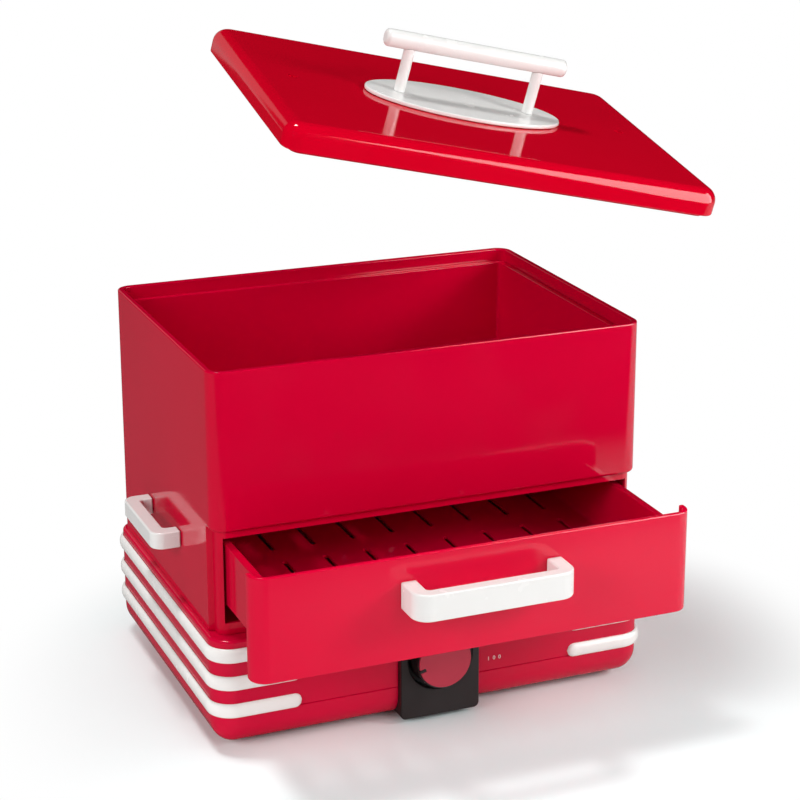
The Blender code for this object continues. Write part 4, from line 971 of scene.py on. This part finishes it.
def screws():
    parts = screwParts()
    groups = (
        ("baseScrews", "base", (
            ("base_screw", baseSeats, 11.3), ("housing_screw", flangeSeats, 6.1),
            ("side_handle_screw", sideSeats, 12.8), ("control_screw", controlSeats, 10.3))),
        ("drawerScrews", "drawer", (("drawer_screw", drawerSeats, 18.0),)),
        ("lidScrews", "lid", (("lid_screw", lidSeats, postScrew),)),
    )
    for name, body, sorts in groups:
        seats = [(*seat, length) for node, places, length in sorts for seat in places]
        nodes = [f"{node}_{number}" for node, places, length in sorts for number in range(1, len(places) + 1)]
        scatter(name, seats, body, "zincPlatedSteel", nodes, parts)
    for part in parts:
        bpy.data.objects.remove(part)


def cordGland():
    g, radius = gland, base["glandRadius"]
    inside, fit = -g["inside"], radius - gap
    bm = turned([(g["collar"], inside - g["collarThick"]), (g["collar"], inside), (fit, inside), (fit, gap),
                 (g["collar"], gap), (g["collar"], g["collarThick"]), (radius, g["collarThick"]),
                 (g["tip"], g["reach"]), (g["bore"], g["reach"]), (g["bore"], inside - g["collarThick"])],
                (base["glandX"], base["back"], base["glandZ"]), backwards, g["sides"], joined=True)
    roundEdges(bm, g["edge"], 3)
    finishPiece("cordGland", bm, "base", "mouldedRubber", ["cord_gland"])


feet()
screws()
cordGland()
print("feet, screws and gland done")

# Pieces kept from the part
carriedOver = {
    "pressedAluminium": ["water_reservoir", "steam_plate"],
    "heatBrownedSheath": ["heating_element", "overheat_cutout"],
    "drawnBrass": ["dial_shaft"],
    "brownPhenolic": ["control_unit"],
    "milkyNylon": ["terminal_block"],
    "glassFibreSleeve": ["lead_to_control", "lead_to_element", "lead_control_to_element"],
}
for material, nodes in carriedOver.items():
    for node in nodes:
        for slotOfNode in bpy.data.objects[node].material_slots:
            slotOfNode.link = "OBJECT"
            slotOfNode.material = materials[material]
print("materials set on the pieces kept from the part")

# Generic plain number beside the dial
dialNumber = {"text": "100", "size": 4.1, "spread": 2.1, "x": 43.7, "z": 36.4, "proud": 0.12}


def printedNumber():
    n = dialNumber
    curve = bpy.data.curves.new("dialNumber", "FONT")
    curve.body, curve.size, curve.extrude = n["text"], n["size"], n["proud"] / 2
    curve.align_x, curve.space_character = "CENTER", n["spread"]
    item = bpy.data.objects.new("dialNumber", curve)
    bpy.context.collection.objects.link(item)
    graph = bpy.context.evaluated_depsgraph_get()
    mesh = bpy.data.meshes.new_from_object(item.evaluated_get(graph))
    bpy.data.objects.remove(item)
    spot = Matrix.Translation((n["x"], base["front"] - n["proud"] / 2, n["z"]))
    mesh.transform(spot @ Matrix.Rotation(math.pi / 2, 4, "X"))
    bm = bmesh.new()
    bm.from_mesh(mesh)
    bmesh.ops.remove_doubles(bm, verts=bm.verts, dist=0.001)
    number = meshObject("printedNumber", bm)
    place(number, "base")
    number.data.materials.append(materials["whitePrintInk"])
    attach(number, "base")


printedNumber()
print("number done")

# Stage
camera = {
    "spot": Vector((-0.590798, -1.408040, 0.714876)), "azimuth": 24.141, "elevation": 17.116, "roll": 0.515,
    "lens": 100.4516, "sensor": 36.0, "shiftX": -0.104862, "shiftY": -0.054881,
}


def addCamera():
    c = camera
    azimuth, elevation, roll = (math.radians(c[key]) for key in ("azimuth", "elevation", "roll"))
    forward = Vector((math.sin(azimuth) * math.cos(elevation), math.cos(azimuth) * math.cos(elevation),
                      -math.sin(elevation)))
    right = Vector((math.cos(azimuth), -math.sin(azimuth), 0))
    up = right.cross(forward)
    turnedRight = math.cos(roll) * right + math.sin(roll) * up
    turnedUp = math.cos(roll) * up - math.sin(roll) * right
    data = bpy.data.cameras.new("camera")
    data.lens, data.sensor_width = c["lens"], c["sensor"]
    data.shift_x, data.shift_y = c["shiftX"], c["shiftY"]
    item = bpy.data.objects.new("camera", data)
    turn = Matrix((turnedRight, turnedUp, -forward)).transposed().to_4x4()
    item.matrix_world = Matrix.Translation(c["spot"]) @ turn
    bpy.context.collection.objects.link(item)
    bpy.context.scene.camera = item


lights = {
    # name: (place, aim, width, depth, watts, lights the surfaces, shows in the gloss)
    "topSoftbox": ((-0.62, 0.45, 2.9), (0, -0.05, 0.1), 0.5, 0.5, 35.5, True, True),
    "rightSoftbox": ((1.15, -0.9, 0.85), (0.05, -0.1, 0.3), 0.5, 0.5, 13.5, True, False),
    "frontSoftbox": ((0.7, -2.7, 1.3), (0, 0, 0.2), 1.6, 1.2, 23, True, False),
    "leftFill": ((-2.2, -1.0, 1.2), (0, 0, 0.15), 1.2, 1.2, 37, True, False),
    "mirroredSoftbox": ((0.86, -0.71, 0.58), (0.1, -0.07, 0.37), 1.1, 1.1, 36, False, True),
    "mirroredBackdrop": ((-0.28, 2.0, 0.83), (0, 0, 0.4), 0.9, 1.0, 1.1, False, True),
}


def addLights():
    for name, (spot, aim, width, depth, watts, lighting, mirrored) in lights.items():
        data = bpy.data.lights.new(name, "AREA")
        data.shape, data.size, data.size_y, data.energy = "RECTANGLE", width, depth, watts
        item = bpy.data.objects.new(name, data)
        item.location = spot
        item.rotation_euler = (Vector(aim) - Vector(spot)).to_track_quat("-Z", "Y").to_euler()
        item.visible_diffuse, item.visible_glossy = lighting, mirrored
        bpy.context.collection.objects.link(item)


studio = {
    "white": 1.0,           # what the camera sees behind the object
    "ambient": 0.11,        # soft fill from the whole room
    "darkRoom": 0.004,      # what the glossy plastic mirrors above the table
    "floorSize": 12.0, "floorTone": "#EEEEEE",
    "floorShown": (0.90, 0.99, 0.99),               # white paper, cooled against the red light on it
    "floorFadeStart": 0.19, "floorFadeEnd": 0.34,   # the floor runs into the white backdrop
    "tableEdge": -0.56, "tableEdgeSoft": 0.10,      # in the plastic's reflections the table ends here
    "tableLeft": -0.15, "tableRight": 0.30, "tableLeftShare": 0.18, "tableRightShare": 0.90,
}


def whiteLight(tree, kind, strength):
    return shading(tree, kind, {"Color": (1, 1, 1, 1), "Strength": strength})


def addWorld():
    world = bpy.data.worlds.new("studio")
    world.use_nodes = True
    tree = world.node_tree
    tree.nodes.clear()
    rays = addNode(tree, "ShaderNodeLightPath").outputs
    white, fill, dark = (whiteLight(tree, "Background", studio[key])
                         for key in ("white", "ambient", "darkRoom"))
    # the photograph's plastic mirrors a dark room above the table, so glossy rays see one
    unseen = mixShader(tree, rays["Is Glossy Ray"], fill, dark)
    seen = maths(tree, "MAXIMUM", rays["Is Camera Ray"], rays["Is Transmission Ray"])
    addNode(tree, "ShaderNodeOutputWorld", {"Surface": mixShader(tree, seen, unseen, white)})
    bpy.context.scene.world = world


def addFloor():
    s = studio
    bm = bmesh.new()
    bmesh.ops.create_grid(bm, x_segments=1, y_segments=1, size=s["floorSize"])
    floor = meshObject("floor", bm)
    material, tree, coords = emptyMaterial("paleStudioFloor")
    rays = addNode(tree, "ShaderNodeLightPath").outputs
    split = addNode(tree, "ShaderNodeSeparateXYZ", {0: coords}).outputs
    # glossy rays see the floor painted darker towards the left, a painted shade as if the table were lit more
    # from the right, and black past its front edge
    across = mapRange(tree, split["X"], s["tableLeft"], s["tableRight"], s["tableLeftShare"],
                      s["tableRightShare"])
    ahead = mapRange(tree, split["Y"], s["tableEdge"], s["tableEdge"] + s["tableEdgeSoft"])
    hidden = maths(tree, "SUBTRACT", 1.0, maths(tree, "MULTIPLY", across, ahead))
    hidden = maths(tree, "MULTIPLY", hidden, rays["Is Glossy Ray"])
    colour = mixColour(tree, hidden, linear(s["floorTone"]), (0, 0, 0, 1))
    colour = mixColour(tree, rays["Is Camera Ray"], colour, (*s["floorShown"], 1))
    far = shading(tree, "VectorMath", {0: coords}, "Value", operation="LENGTH")
    fade = mapRange(tree, far, s["floorFadeStart"], s["floorFadeEnd"], interpolation_type="SMOOTHSTEP")
    fade = maths(tree, "MULTIPLY", fade, rays["Is Camera Ray"])
    diffuse = shading(tree, "BsdfDiffuse", {"Color": colour})
    endMaterial(tree, mixShader(tree, fade, diffuse, whiteLight(tree, "Emission", s["white"])))
    floor.data.materials.append(material)


addCamera()
addLights()
addWorld()
addFloor()
bpy.context.scene.view_settings.view_transform = "Standard"
print("stage done")
